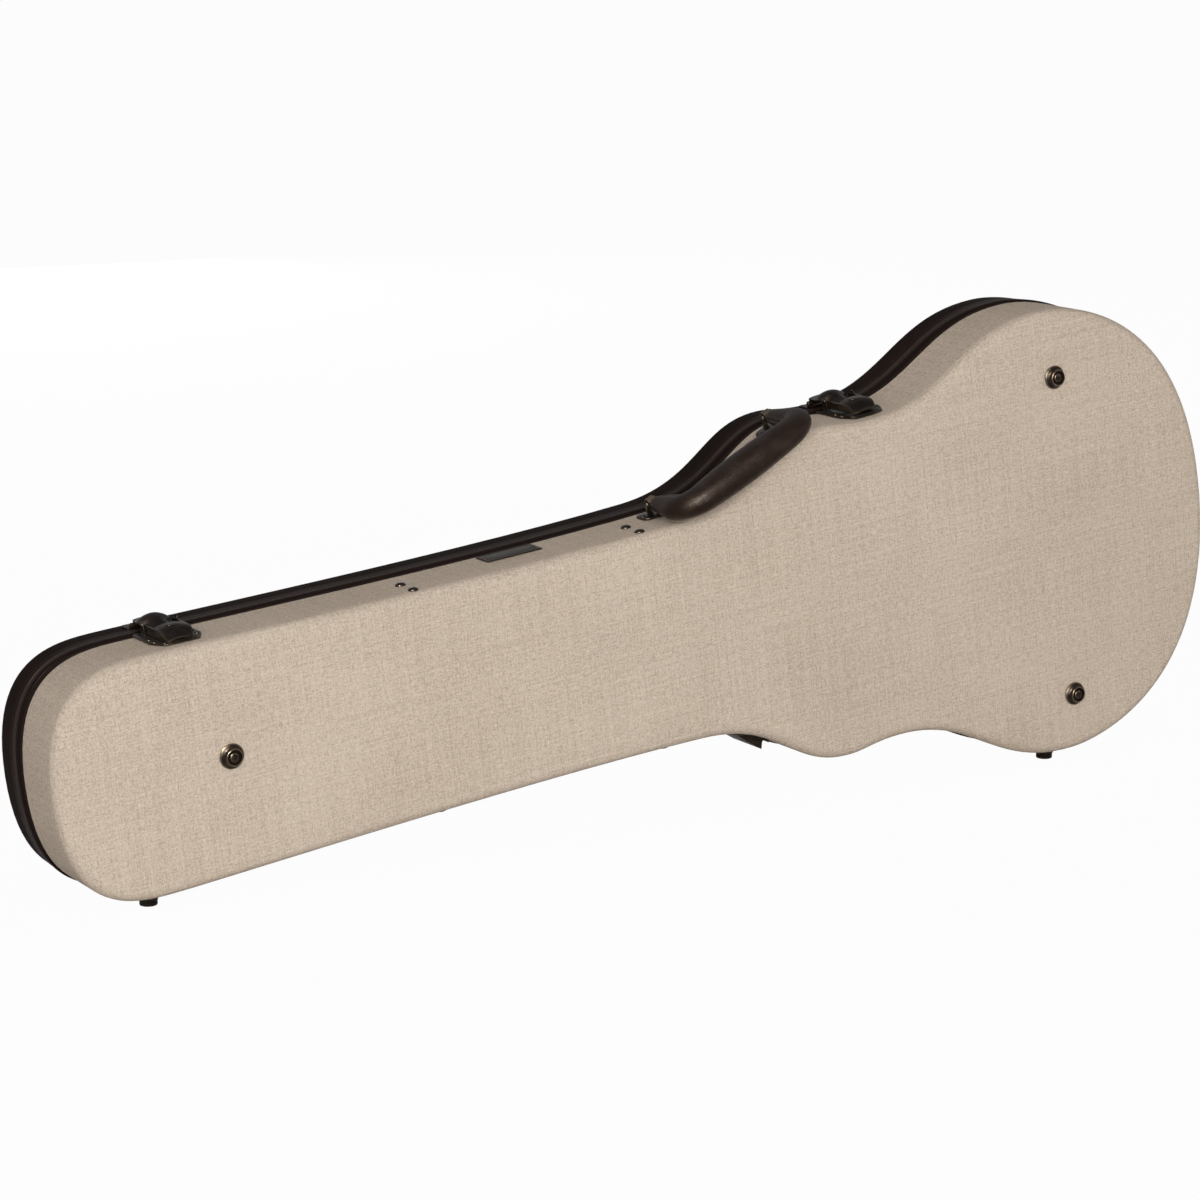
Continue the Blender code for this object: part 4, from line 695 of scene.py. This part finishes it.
plate = {"start": 0.015, "half": 0.0212, "tipHalf": 0.015, "shoulder": 0.015, "margin": 0.0005, "cut": 0.004,
         "panel": (0.0146, 0.003, 0.002, 0.001, 0.0021),   # half, inset, corner, low, high
         "earIn": 0.0133, "earRadius": 0.0027, "earFoot": 0.0008, "earSpread": 1.4, "pin": (0.0017, 0.0006),
         "pinOut": 0.0143, "rivetSide": 0.0174, "rivetRows": (0.013, 0.0225), "rivetRadius": 0.0022}


def latchPlate(which):
    p, run, place, sheet = plate, latchRuns[which], latchPlace(which), latch["sheet"]
    tip, half, start, cut = p["tipHalf"], p["half"], p["start"], p["cut"]
    wide, end = start + p["shoulder"], shell["wallTop"] - p["margin"]
    right = [(0.0, start), (tip - cut, start), (tip, start + 0.3 * cut), (half - 0.3 * cut, wide - cut),
             (half, wide), (half, end - cut), (half - 0.35 * cut, end - 0.3 * cut), (half - cut, end)]
    bm = slab(right + [(-x, y) for x, y in reversed(right[1:])], gap, gap + sheet)
    bent(roundEdges(bm, 0.0004), run)
    panelHalf, inset, corner, low, high = p["panel"]
    join(bm, wallPlate(run, panelHalf, start + inset, end - inset, corner, high, 0.0004, low))
    depth, out = latch["pivot"]
    reach = p["earSpread"] * p["earRadius"]
    ear = [(depth + reach, p["earFoot"])]
    ear += [(depth + y, out + z) for y, z in arcPoints((0, 0), p["earRadius"], 0, 180, 10)]
    ear += [(depth - reach, p["earFoot"])]
    for way in (-1, 1):
        low, high = sorted((way * p["earIn"], way * (p["earIn"] + sheet)))
        join(bm, moved(roundEdges(slab(ear, low, high), 0.0003), sideways), place)
        pin = domeProfile(*p["pin"], p["pin"][1])
        join(bm, spun(pin, 16), place @ upright((way * p["pinOut"], depth, out), (way, 0, 0)))
    spots = [(way * p["rivetSide"], start + row) for way in (-1, 1) for row in p["rivetRows"]]
    rivetsOn(bm, run, spots, gap + sheet, p["rivetRadius"])
    metal(f"latchPlate.{which}", bm, "base", "latch_plate_" + which)


# The lever's nose is a row of sections: distance, share of the width, height, crown
lever = {"half": 0.013, "start": 0.018, "mouth": 0.039, "end": 0.059, "low": 0.003, "sheet": 0.0014,
         "crown": 0.0024, "lap": 0.0006,
         "nose": ((0.0, 0.55, 0.0042, 0.0006), (0.001, 0.68, 0.0036, 0.0006), (0.0022, 0.8, 0.0038, 0.0008),
                  (0.004, 0.9, 0.0051, 0.0012), (0.006, 0.96, 0.0068, 0.0018),
                  (0.0085, 0.99, 0.0082, 0.0022), (0.0115, 1.0, 0.0089, 0.0024),
                  (0.015, 1.0, 0.009, 0.0024)),
         "ribHalf": 0.0052, "ribStart": 0.011, "ribEnd": 0.0035, "ribCorner": 0.003, "rib": (0.0018, 0.0028)}


def arched(half, y, base, crown):   # a row of points across, highest in the middle
    shares = [k / latch["steps"] - 1 for k in range(2 * latch["steps"] + 1)]
    return [Vector((s * half, y, base + crown * (1 - s * s))) for s in shares]


def leverSection(y, half, low, top, crown):
    sheet = lever["sheet"]
    under = arched(half - sheet, y, top - sheet, crown)[::-1]
    corners = [Vector((x, y, low)) for x in (-half, half, half - sheet, sheet - half)]
    return corners[:1] + arched(half, y, top, crown) + corners[1:3] + under + corners[3:]


def latchLever(which):
    c, top = lever, latch["pivot"][1]
    start, mouth, end, low, wide = c["start"], c["mouth"], c["end"], c["low"], c["half"]
    nose = c["nose"] + ((mouth - start, 1.0, top, c["crown"]),)
    bm = loft([leverSection(start + y, wide * share, min(low, high - c["sheet"]), high, crown)
               for y, share, high, crown in nose])
    cheek = [(mouth - c["lap"], low), (end - 0.003, low), (end - 0.0008, low + 0.0012), (end, low + 0.0035),
             (end, top - 0.001), (end - 0.0009, top), (end - 0.0024, top + 0.0006), (mouth - c["lap"], top)]
    for way in (-1, 1):
        join(bm, moved(slab(cheek, *sorted((way * (wide - c["sheet"]), way * wide))), sideways))
    roundEdges(bm, 0.00025, sharp=50.0)
    shape = rounded(c["ribHalf"], start + c["ribStart"], mouth - c["ribEnd"], c["ribCorner"])
    join(bm, roundEdges(slab(shape, top + c["rib"][0], top + c["rib"][1]), 0.0004))
    metal(f"latchLever.{which}", moved(bm, latchPlace(which)), "lever_" + which, "latch_lever_" + which)


# The link's sections, each half width, rise and crown, from the tongue over the hump to the claw
link = {"tongue": (0.0075, 0.0, 0.0), "claw": (0.0074, 0.0, 0.0006), "hump": (0.013, 0.0026, 0.0054),
        "tailHump": (0.013, 0.0012, 0.0026), "humpAt": 0.067, "rampStart": 0.047, "start": 0.0018,
        "end": 0.0912, "endLap": 0.0016, "lipCrown": 0.0004,
        "lip": ((0.0008, 0.0072, -0.0004), (0.0002, 0.0068, -0.0013), (0.0, 0.0062, -0.0026)),
        "above": 0.0044, "pinHalf": 0.0073, "pinRadius": 0.0028}


def mixed(first, second, share):
    share = smoothShare(share)
    return [a + (b - a) * share for a, b in zip(first, second)]


def latchLink(which):
    c = link
    tongue, hump, humpAt = c["tongue"], c["tailHump" if which == "tail" else "hump"], c["humpAt"]
    pivot, height = latch["linkPivot"]
    past, stations = lever["end"] + gap, []
    for k in range(11):
        y = pivot + c["start"] + (humpAt - pivot - c["start"]) * k / 10
        half = mixed(tongue, hump, (y - past) / (humpAt - past))[0]
        _, rise, crown = mixed(tongue, hump, (y - c["rampStart"]) / (humpAt - c["rampStart"]))
        stations.append((y, half, rise, crown))
    far = c["end"] - c["endLap"] - humpAt
    stations += [(humpAt + far * k / 11, *mixed(hump, c["claw"], k / 11)) for k in range(1, 12)]
    stations += [(c["end"] - back, half, rise, c["lipCrown"]) for back, half, rise in c["lip"]]
    rings = []
    for y, half, rise, crown in stations:
        base = c["above"] + rise
        rings.append(arched(half, y, base + latch["sheet"], crown) + arched(half, y, base, crown)[::-1])
    bm = roundEdges(loft(rings), 0.0003, sharp=60.0)
    join(bm, rod((-c["pinHalf"], pivot, height), (c["pinHalf"], pivot, height), c["pinRadius"], 20))
    metal(f"latchLink.{which}", moved(bm, latchPlace(which)), "link_" + which, "latch_link_" + which)


keeper = {"half": 0.015, "start": 0.001, "end": 0.0962, "corner": 0.002, "sheet": 0.001,
          "barHalf": 0.0112, "bar": (0.0875, 0.0018), "barRadius": 0.0021, "rivet": (0.0128, 0.003, 0.0015)}


def latchKeeper(which):
    c, run, top = keeper, latchRuns[which], gap + keeper["sheet"]
    bm = wallPlate(run, c["half"], rims["lidTop"] + c["start"], c["end"], c["corner"], top, 0.0003)
    bar = rod((-c["barHalf"], *c["bar"]), (c["barHalf"], *c["bar"]), c["barRadius"], 20, 0.0008)
    join(bm, bar, latchPlace(which))
    side, inset, radius = c["rivet"]
    rivetsOn(bm, run, [(way * side, c["end"] - inset) for way in (-1, 1)], top, radius)
    metal(f"latchKeeper.{which}", bm, "lid", "latch_keeper_" + which)


for which in latchRuns:
    latchPlate(which)
    latchLever(which)
    latchLink(which)
    latchKeeper(which)
print("latches made")


# Handle

handle = {"depth": 0.042, "reach": 0.058, "corner": 0.02, "start": 0.0065, "wide": 0.0178, "thick": 0.0126,
          "fullest": 0.49, "swell": 1.07, "endWide": 0.0065, "endThick": 0.0058, "restLift": 4.0,
          "uses": (0.5486, 0.6677), "around": 56, "pinch": (0.22, 0.001)}


def handlePlace():   # X along the axis, Y the folded handle's reach, Z its thickness; and half its span
    pivot, axis = jointPlace("handle_hinge")
    x = -axis
    up = Vector((-x.z, 0, x.x))
    lift = math.radians(handle["restLift"])
    y = up * math.sin(lift) + Vector((0, -math.cos(lift), 0))
    ends = []
    for side in ("left", "right"):
        low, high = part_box("handle_pin_" + side)
        ends.append((toCase @ ((low + high) / 2) - pivot).dot(x))
    return turned(x, y, x.cross(y), pivot + x * (sum(ends) / 2)), (ends[1] - ends[0]) / 2


def gripPath(half):   # middle line of the D as (x, y, direction in degrees), close and even
    c = handle
    straight, run = c["reach"] - c["corner"], half - c["corner"]
    path = [(-half, c["start"] + (straight - c["start"]) * k / 8, 90.0) for k in range(8)]
    for k in range(13):
        turn = math.radians(90 * k / 12)
        x = -half + c["corner"] * (1 - math.cos(turn))
        path.append((x, straight + c["corner"] * math.sin(turn), 90 - 7.5 * k))
    path += [(-run * (1 - k / 10), c["reach"], 0.0) for k in range(1, 10)]
    return path + [(0.0, c["reach"], 0.0)] + [(-x, y, -angle) for x, y, angle in reversed(path)]


def gripSize(share):
    c, full = handle, handle["fullest"]
    share = 0.5 * share / full if share < full else 1 - 0.5 * (1 - share) / (1 - full)
    swell = math.sin(math.pi * share) ** c["swell"]
    wide = c["endWide"] + (c["wide"] - c["endWide"]) * swell
    return wide, c["endThick"] + (c["thick"] - c["endThick"]) * swell


def gripPoint(place, across, up):
    x, y, angle = place
    turn = math.radians(angle)
    return Vector((x - math.sin(turn) * across, y + math.cos(turn) * across, up))


# Where the grip's cover is sewn together: a raised edge, a dip on both sides of it, two rows of stitches
seam = {"at": math.radians(220), "fold": (0.07, 0.11), "dip": (0.04, 0.3, 0.14), "row": 0.27, "depth": 0.975,
        "pitch": 0.0034, "stitch": (0.00115, 0.00042, 0.00042, 1.0)}


def seamSwell(angle):
    high, wide = seam["fold"]
    low, away, spread = seam["dip"]
    past = angle - seam["at"]
    dip = 1 - low * math.exp(-((abs(past) - away) / spread) ** 2)
    return dip * (1 + high * math.exp(-(past / wide) ** 2))


def handleGrip():
    matrix, half = handlePlace()
    path = gripPath(half)
    lengths = [0.0]
    for a, b in zip(path, path[1:]):
        lengths.append(lengths[-1] + math.hypot(b[0] - a[0], b[1] - a[1]))
    rings, line, count = [], [], handle["around"]
    for place, length in zip(path, lengths):
        wide, thick = gripSize(length / lengths[-1])
        pinch, short = handle["pinch"]
        pinch = 1 - pinch * math.exp(-min(length, lengths[-1] - length) / short)
        ring = []
        for j in range(count):
            a = 2 * math.pi * (j + 0.5) / count
            grow = pinch * seamSwell(a)
            ring.append(gripPoint(place, grow * wide * math.cos(a), grow * thick * math.sin(a)))
        rings.append(ring)
        line.append((*place, wide * pinch, thick * pinch))
    bm = moved(roundEdges(loft(rings), 0.0008, 3, 60.0), matrix)
    piece("handleGrip", bm, "handle_leather", "handle", ["handle_grip"], 70.0)
    handleStitches(matrix, lengths, line)


def handleStitches(matrix, lengths, line):
    bm = bmesh.new()
    pitch, k = seam["pitch"], 0
    for n in range(2, int(lengths[-1] / pitch) - 1):
        while lengths[k + 1] < n * pitch:
            k += 1
        share = (n * pitch - lengths[k]) / (lengths[k + 1] - lengths[k])
        x, y, angle, wide, thick = [a + (b - a) * share for a, b in zip(line[k], line[k + 1])]
        for way in (-1, 1):
            a = seam["at"] + way * seam["row"]
            out, up = seam["depth"] * wide * math.cos(a), seam["depth"] * thick * math.sin(a)
            spot = Matrix.Translation(gripPoint((x, y, angle), out, up))
            lie = spot @ Matrix.Rotation(math.radians(angle), 4, "Z") @ Matrix.Diagonal(seam["stitch"])
            bmesh.ops.create_icosphere(bm, subdivisions=1, radius=1.0, matrix=lie)
    piece("handleStitches", moved(bm, matrix), "handle_leather", "handle", finish="thread", fix=False)


bracket = {"half": 0.013, "up": 0.009, "corner": 0.006, "sheet": 0.0018, "ear": (0.0037, 0.0038),
           "earSheet": 0.0016, "earSpread": 1.4, "foot": 0.0012, "under": 0.005, "rivet": (0.0096, 0.0022)}


def handleBracket(name, u, x):
    c, run, depth, matrix = bracket, runAt(u), handle["depth"], handlePlace()[0]
    (radius, inner), top = c["ear"], gap + c["sheet"]
    bm = wallPlate(run, c["half"], depth - c["up"], depth + c["up"], c["corner"], top, 0.0005, steps=6)
    along = matrix.col[0].to_3d()
    up = Vector((-along.z, 0, along.x))
    pivot = matrix @ Vector((x, 0, 0))
    spots = [onWall(run + s, depth, c["foot"]) for s in (-c["under"], 0.0, c["under"])]
    foot = min((spot - pivot).dot(up) for spot in spots)
    reach = radius * c["earSpread"]
    ear = [(reach, foot)] + arcPoints((0, 0), radius, 0, 180, 12) + [(-reach, foot)]
    place = turned(Vector((0, 1, 0)), up, along, pivot)
    for start in (-inner - c["earSheet"], inner):
        join(bm, roundEdges(slab(ear, start, start + c["earSheet"]), 0.0004), place)
    side, size = c["rivet"]
    rivetsOn(bm, run, [(-side, depth), (side, depth)], top, size)
    metal(f"handleBracket.{name}", bm, "base", "handle_bracket_" + name)


handleGrip()
for side, u, way in (("left", handle["uses"][0], -1), ("right", handle["uses"][1], 1)):
    handleBracket(side, u, way * handlePlace()[1])
print("handle made")


# Feet, plates and rivets

# A foot's sections as shares: below the disc, the disc with its hollow, and the ring in the hollow
feet = {"flare": ((1.0, 0.0, 0.2), (0.6, 0.4, 0.34), (0.2, 0.8, 0.44)), "soft": (0.0004, 0.0005),
        "disc": ((1.0, 0.56), (1.0, 0.9), (0.97, 0.97), (0.92, 1.0), (0.87, 0.99), (0.84, 0.9), (0.82, 0.62),
                 (0.56, 0.6), (0.54, 0.84), (0.5, 0.9), (0.36, 0.95), (0.18, 0.975), (0.0, 0.98)),
        "ring": ((0.58, 0.6), (0.8, 0.6), (0.8, 0.8), (0.75, 0.86), (0.63, 0.86), (0.58, 0.8), (0.58, 0.6)),
        "back": (0.0098, 0.007, 0.7), "side": (0.008, 0.008, 0.86), "steps": 40}
backShift = {"neck": (0, 0, 0.0024), "upper": (0.0034, 0, -0.003), "lower": (0, 0, -0.0038)}   # to the photo


def foot(name, node, size, axis, shift=(0, 0, 0)):
    radius, height, disc = size
    disc, top = disc * radius, height - gap
    low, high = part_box(node)
    middle = toCase @ ((low + high) / 2) + Vector(shift)
    place = upright(middle - Vector(axis) * (0.5 * top), axis)
    profile = [(0.0, 0.0), (radius - feet["soft"][0], 0.0), (radius, feet["soft"][1])]
    profile += [(a * radius + b * disc, up * top) for a, b, up in feet["flare"]]
    profile += [(out * disc, up * top) for out, up in feet["disc"]]
    bm = moved(spun(profile, feet["steps"]), place)
    metal(name, bm, "base", node, finish="antique_bronze", smooth=40.0)
    ring = spun([(out * disc, up * top) for out, up in feet["ring"]], feet["steps"])
    metal(name + ".ring", moved(ring, place), "base", finish="dark_band", smooth=40.0)


down = toCase.to_3x3() @ Vector((0, 0, -1))
for place, shift in backShift.items():
    foot(f"backFoot.{place}", "back_foot_" + place, feet["back"], Vector((0, -1, 0)), shift)
for place in ("neck_back", "neck_lid", "bout_back", "bout_lid"):
    foot(f"sideFoot.{place}", "side_foot_" + place, feet["side"], down)


badge = {"at": 0.4165, "depth": 0.0455, "half": 0.025, "up": 0.0105, "corner": 0.0016, "thick": 0.0008,
         "margin": 0.001, "border": (0.0009, 0.0013), "frame": 0.0022, "sunk": 0.0003,
         "rivet": (0.0212, 0.0011, 0.0016)}


def namePlate():   # bare, with a raised border
    c, run = badge, runAt(badge["at"])
    depth, half, up, inside = c["depth"], c["half"], c["up"], c["margin"]
    bm = roundEdges(slab(rounded(half, depth - up, depth + up, c["corner"]), gap, gap + c["thick"]), 0.0003)
    shape = rounded(half - inside, depth - up + inside, depth + up - inside, 0.75 * c["corner"])
    border = slab(shape, *c["border"])
    top = [f for f in border.faces if f.normal.z > 0.9]
    bmesh.ops.inset_region(border, faces=top, thickness=c["frame"], depth=0.0)
    bmesh.ops.translate(border, vec=(0, 0, -c["sunk"]), verts=list({v for f in top for v in f.verts}))
    bent(join(bm, border), run)
    side, base, radius = c["rivet"]
    rivetsOn(bm, run, [(-side, depth), (side, depth)], base, radius)
    metal("namePlate", bm, "base", "name_plate")


guide = {"at": 0.605, "start": 0.015, "margin": 0.0005, "half": 0.0212, "corner": 0.008, "top": 0.0024,
         "ramp": ((-0.015, 0.002), (-0.01, 0.0042), (-0.002, 0.007), (0.008, 0.0088), (0.0143, 0.0096),
                  (0.0145, 0.009), (0.0128, 0.004), (0.013, 0.0016), (-0.015, 0.0016)),
         "rampIn": (0.003, 0.004), "rivet": (0.0178, 0.012), "rivetRadius": 0.0018}
standing = Matrix(((1, 0, 0, 0), (0, 0, 1, 0), (0, 1, 0, 0), (0, 0, 0, 1)))   # X, Y, Z become X, Z, Y


def sideGuide():   # a ramp that ends in a sharp drop, on a thin flange
    c, run = guide, runAt(guide["at"])
    start, end = c["start"], shell["wallTop"] - c["margin"]
    bm = wallPlate(run, c["half"], start, end, c["corner"], c["top"], 0.0004, side=-1)
    ramp = facesOut(moved(slab(c["ramp"], start + c["rampIn"][0], end - c["rampIn"][1]), standing))
    join(bm, bent(roundEdges(ramp, 0.0005), run, -1))
    x, far = c["rivet"]
    rivetsOn(bm, run, [(x, start + far), (x, end - far)], c["top"], c["rivetRadius"], -1)
    metal("sideGuide", bm, "base", "side_guide")


rivets = {"at": (("head", 0.313), ("body", 0.5165)), "rows": ((1, 0.0115), (2, 0.0325)), "radius": 0.0042,
          "base": 0.0003, "rise": (("upper", 1, 0.0019), ("lower", -1, 0.0003))}


def dividerRivets():   # domed on the handle side, and nearly flush on the hinge side
    for which, u in rivets["at"]:
        for edge, side, rise in rivets["rise"]:
            for row, depth in rivets["rows"]:
                place = upright(onWall(runAt(u), depth, rivets["base"], side), outward(runAt(u), side))
                bm = moved(spun(domeProfile(rivets["radius"], rise)), place)
                node = f"divider_rivet_{which}_{edge}_{row}"
                metal(f"dividerRivet.{which}.{edge}.{row}", bm, "base", node)


namePlate()
sideGuide()
dividerRivets()
print("small metal made")


# Linings and the neck compartment

lining = {"inset": 0.007, "wall": 0.014, "floor": 0.014, "top": 0.0735, "roof": 0.01, "skirt": 0.005,
          "under": 0.005, "roll": (0.007, 0.006),
          "flank": ((-0.0008, 0.065), (-0.0004, 0.06), (0.0006, 0.045), (0.0002, 0.032)),
          "cove": ((0.0004, 0.008), (0.0018, 0.003), (0.006, 0.0)), "crown": 0.0008,
          "floorLoops": (0.05, 0.12, 0.25, 0.4, 0.6, 0.8, 1.0),
          "backLoops": (0.0, 0.1, 0.25, 0.5, 0.75, 1.0),
          "roofLoops": (0.0, 0.04, 0.1, 0.2, 0.35, 0.5, 0.7, 0.85, 1.0)}


def baseLining():
    c, low, inset = lining, shell["sheet"] + gap, lining["inset"]
    inner, floor = inset + c["wall"], low + c["floor"]
    wide, high = c["roll"]
    profile = [(inset + c["under"], low), (inset, low + c["under"]), (inset + 0.0006, c["flank"][2][1])]
    profile += arcPoints((inset + wide, c["top"] - high), wide, 180, -180, 12, high)
    profile += [(inner + past, depth) for past, depth in c["flank"]]
    profile += [(inner + past, floor + up) for past, up in c["cove"]]
    bm = bmesh.new()
    outer, edges = sweepWall(bm, profile)
    bmesh.ops.contextual_create(bm, geom=outer)
    closeOver(bm, edges, c["floorLoops"], inner + c["cove"][-1][0], floor, c["crown"])
    piece("plushBaseLining", bm, "plush", "base", ["base_lining"], 60.0)


def lidLining():
    c, low, inset = lining, rims["lidTop"] + gap, lining["inset"]
    under = lid["edge"] - lid["panel"] - gap
    step, roof = under - lid["panel"] - 2 * gap, under - c["roof"]
    inside, past = inset + c["skirt"], lid["edgeInset"] + shell["sheet"] + gap
    bm = bmesh.new()
    first, edges = sweepWall(bm, [(inset, low + 0.0006), (inset, step), (past, step)])
    closeOver(bm, edges, c["backLoops"], past, under)
    for place in ((inset + 0.001, low), (inside - 0.001, low), (inside, low + 0.001),
                  (inside + 0.0004, roof - 0.004), (inside + 0.0018, roof - 0.0012)):
        first = extrudeLoop(bm, first, wallAt(*place))
    closeOver(bm, first, c["roofLoops"], inside + 0.004, roof)
    piece("plushLidLining", bm, "plush", "lid", ["lid_lining"], 60.0)


def crowned(points, crown, start, end, steps=14):   # a padded bar along u, drawn in at its ends
    middle = sum((Vector(p) for p in points), Vector((0, 0))) / len(points)
    rings = []
    for k in range(steps + 1):
        t = 0.5 - 0.5 * math.cos(math.pi * k / steps)
        pull = 1 - crown * abs(2 * t - 1) ** 6
        places = [middle + (Vector(p) - middle) * pull for p in points]
        rings.append([Vector((start + (end - start) * t, *place)) for place in places])
    return loft(rings)


def squared(value, power):   # rounds a circle's sine or cosine towards a square
    return math.copysign(abs(value) ** power, value)


flap = {"around": 48, "powers": (0.45, 0.16), "crown": 0.03, "steps": 24}
tab = {"flat": 0.016, "bend": ((0.004, 0.0008), (0.0012, 0.0022)), "sheet": 0.0008, "sag": 0.00012,
       "steps": 6, "margin": 0.0002}


def compartmentFlap():
    (x0, y0, z0), (x1, y1, z1) = caseBox("compartment_flap")
    thick, half, points = (y1 - y0) / 2, (z1 - z0) / 2, []
    for k in range(flap["around"]):
        a = 2 * math.pi * (k + 0.5) / flap["around"]
        points.append(((y0 + y1) / 2 + thick * squared(math.sin(a), flap["powers"][0]),
                       (z0 + z1) / 2 + half * squared(math.cos(a), flap["powers"][1])))
    bm = crowned(points, flap["crown"], x0, x1, flap["steps"])
    piece("plushFlap", bm, "plush", "flap", ["compartment_flap"], 50.0)


def ribbonPull():   # flat on the flap, and turned up at its end
    (x0, y0, z0), (x1, y1, z1) = caseBox("flap_pull")
    edge = tab["margin"]
    path = [(z0, y0 + edge), (z0 + tab["flat"], y0 + edge)]
    path += [(z1 - back, y0 + up) for back, up in tab["bend"]] + [(z1 - edge, y1 - edge)]
    ring = [Vector((x0, y + tab["sheet"], z)) for z, y in path]
    ring += [Vector((x0, y, z)) for z, y in reversed(path)]
    rings = []
    for share in [k / tab["steps"] for k in range(tab["steps"] + 1)]:
        move = Vector(((x1 - x0) * share, tab["sag"] * math.sin(math.pi * share), 0))
        rings.append([p + move for p in ring])
    piece("ribbonPull", loft(rings), "ribbon", "flap", ["flap_pull"], 50.0)


rest = {"margin": 0.0006, "slot": 0.031, "deep": 0.012, "soft": 0.004, "power": 0.6, "steps": 14,
        "crown": 0.05}


def neckRest():
    (x0, y0, z0), (x1, y1, z1) = caseBox("neck_rest")
    half, slot, soft = (z1 - z0) / 2 - rest["margin"], rest["slot"], rest["soft"]
    right = [(y0, half - 0.006), (y0 + 0.0018, half - 0.0018), (y0 + 0.006, half),
             (0.5 * (y0 + y1), half + 0.0004), (y1 - 0.005, half), (y1 - 0.0014, half - 0.0014),
             (y1, half - 0.005), (y1, 0.5 * (half + slot)), (y1 - 0.0004, slot + 0.004),
             (y1 - 0.002, slot + 0.0012)]
    saddle = []
    for k in range(rest["steps"] + 1):
        a = math.pi * k / rest["steps"]
        across = slot * squared(math.cos(a), rest["power"])
        saddle.append((y1 - soft - (rest["deep"] - soft) * math.sin(a), across))
    points = right + saddle + [(w, -v) for w, v in reversed(right)]
    points += [(y0, k * half / 2) for k in (-1, 0, 1)]
    bm = crowned(points, rest["crown"], x0, x1)
    piece("plushNeckRest", bm, "plush", "base", ["neck_rest"], 70.0)


baseLining()
lidLining()
compartmentFlap()
ribbonPull()
neckRest()
print("linings made")


# Every solid that stays takes the finish of its material slot

for part in frame["record"]["subparts"]:
    node = frame["nodes"][part["node"]]
    node.data.materials.clear()
    node.data.materials.append(finishes[part["material_slot"]])


# Floor, backdrop, light and camera

studio = {"floor": 60.0, "floorTone": (0.6, 0.6, 0.6, 1.0), "seen": 0.97, "world": 0.3, "aim": (0, 0, 0.15)}
white = (1.0, 1.0, 1.0, 1.0)
lights = (   # power, place and size, and what the light leaves out
    ("keyLight", 121.0, (-1.9, -3.4, 1.15), 2.2, {}),
    ("fillLight", 19.0, (3.0, -2.6, 1.2), 1.6, {}),
    ("backLight", 60.0, (0.6, 3.9, 0.7), 1.6, {"visible_glossy": False}),
    ("glintLight", 280.0, (-2.2, -1.6, 2.3), 0.8, {"visible_diffuse": False}))   # sheen on the dark pieces


def areaLight(name, power, place, size, leaves):
    data = bpy.data.lights.new(name, "AREA")
    data.energy, data.size = power, size
    made = added(name, data)
    made.location = place
    made.rotation_euler = (Vector(studio["aim"]) - made.location).to_track_quat("-Z", "Y").to_euler()
    for key, value in leaves.items():
        setattr(made, key, value)


def paleFloor():
    bm = bmesh.new()
    bmesh.ops.create_grid(bm, x_segments=1, y_segments=1, size=studio["floor"])
    floor = added("studioFloor", meshOf("studioFloor", bm))
    paint = Paint("paleFloor", Base_Color=studio["floorTone"], Roughness=1.0, Specular_IOR_Level=0.0)
    glow = paint.node("Emission", {}, white, 1.0)
    seen = paint.node("LightPath", {}, out=0) * studio["seen"]
    mix = paint.node("MixShader", {}, seen, Wire(paint, paint.shader.outputs[0]), glow)
    paint.feed(paint.tree.nodes["Material Output"].inputs["Surface"], mix)
    floor.data.materials.append(paint.material)


def paleWorld():   # soft light all round, and plain white where the camera sees it
    world = bpy.data.worlds.new("paleStudio")
    bpy.context.scene.world = world
    world.use_nodes = True
    sky = Nodes(world.node_tree)
    soft = sky.tree.nodes["Background"]
    sky.feed(soft.inputs[0], white)
    sky.feed(soft.inputs[1], studio["world"])
    path = sky.node("LightPath", {})
    through = Wire(sky, path.socket.node.outputs["Is Transmission Ray"])
    plain = sky.node("Background", {}, white, 1.0)
    mix = sky.node("MixShader", {}, path.most(through), Wire(sky, soft.outputs[0]), plain)
    sky.feed(sky.tree.nodes["World Output"].inputs["Surface"], mix)


view = {"place": (-1.474656, -2.403966, 0.769847), "turn": (78.1291, 0.2779, -30.7289), "lens": 107.4376,
        "sensor": 36.0}


def photoCamera():
    data = bpy.data.cameras.new("photoCamera")
    data.lens, data.sensor_width = view["lens"], view["sensor"]
    made = added("photoCamera", data)
    made.location = view["place"]
    made.rotation_euler = [math.radians(a) for a in view["turn"]]
    bpy.context.scene.camera = made


paleFloor()
paleWorld()
for light in lights:
    areaLight(*light)
photoCamera()
bpy.context.scene.view_settings.view_transform = "Standard"
print("studio made")
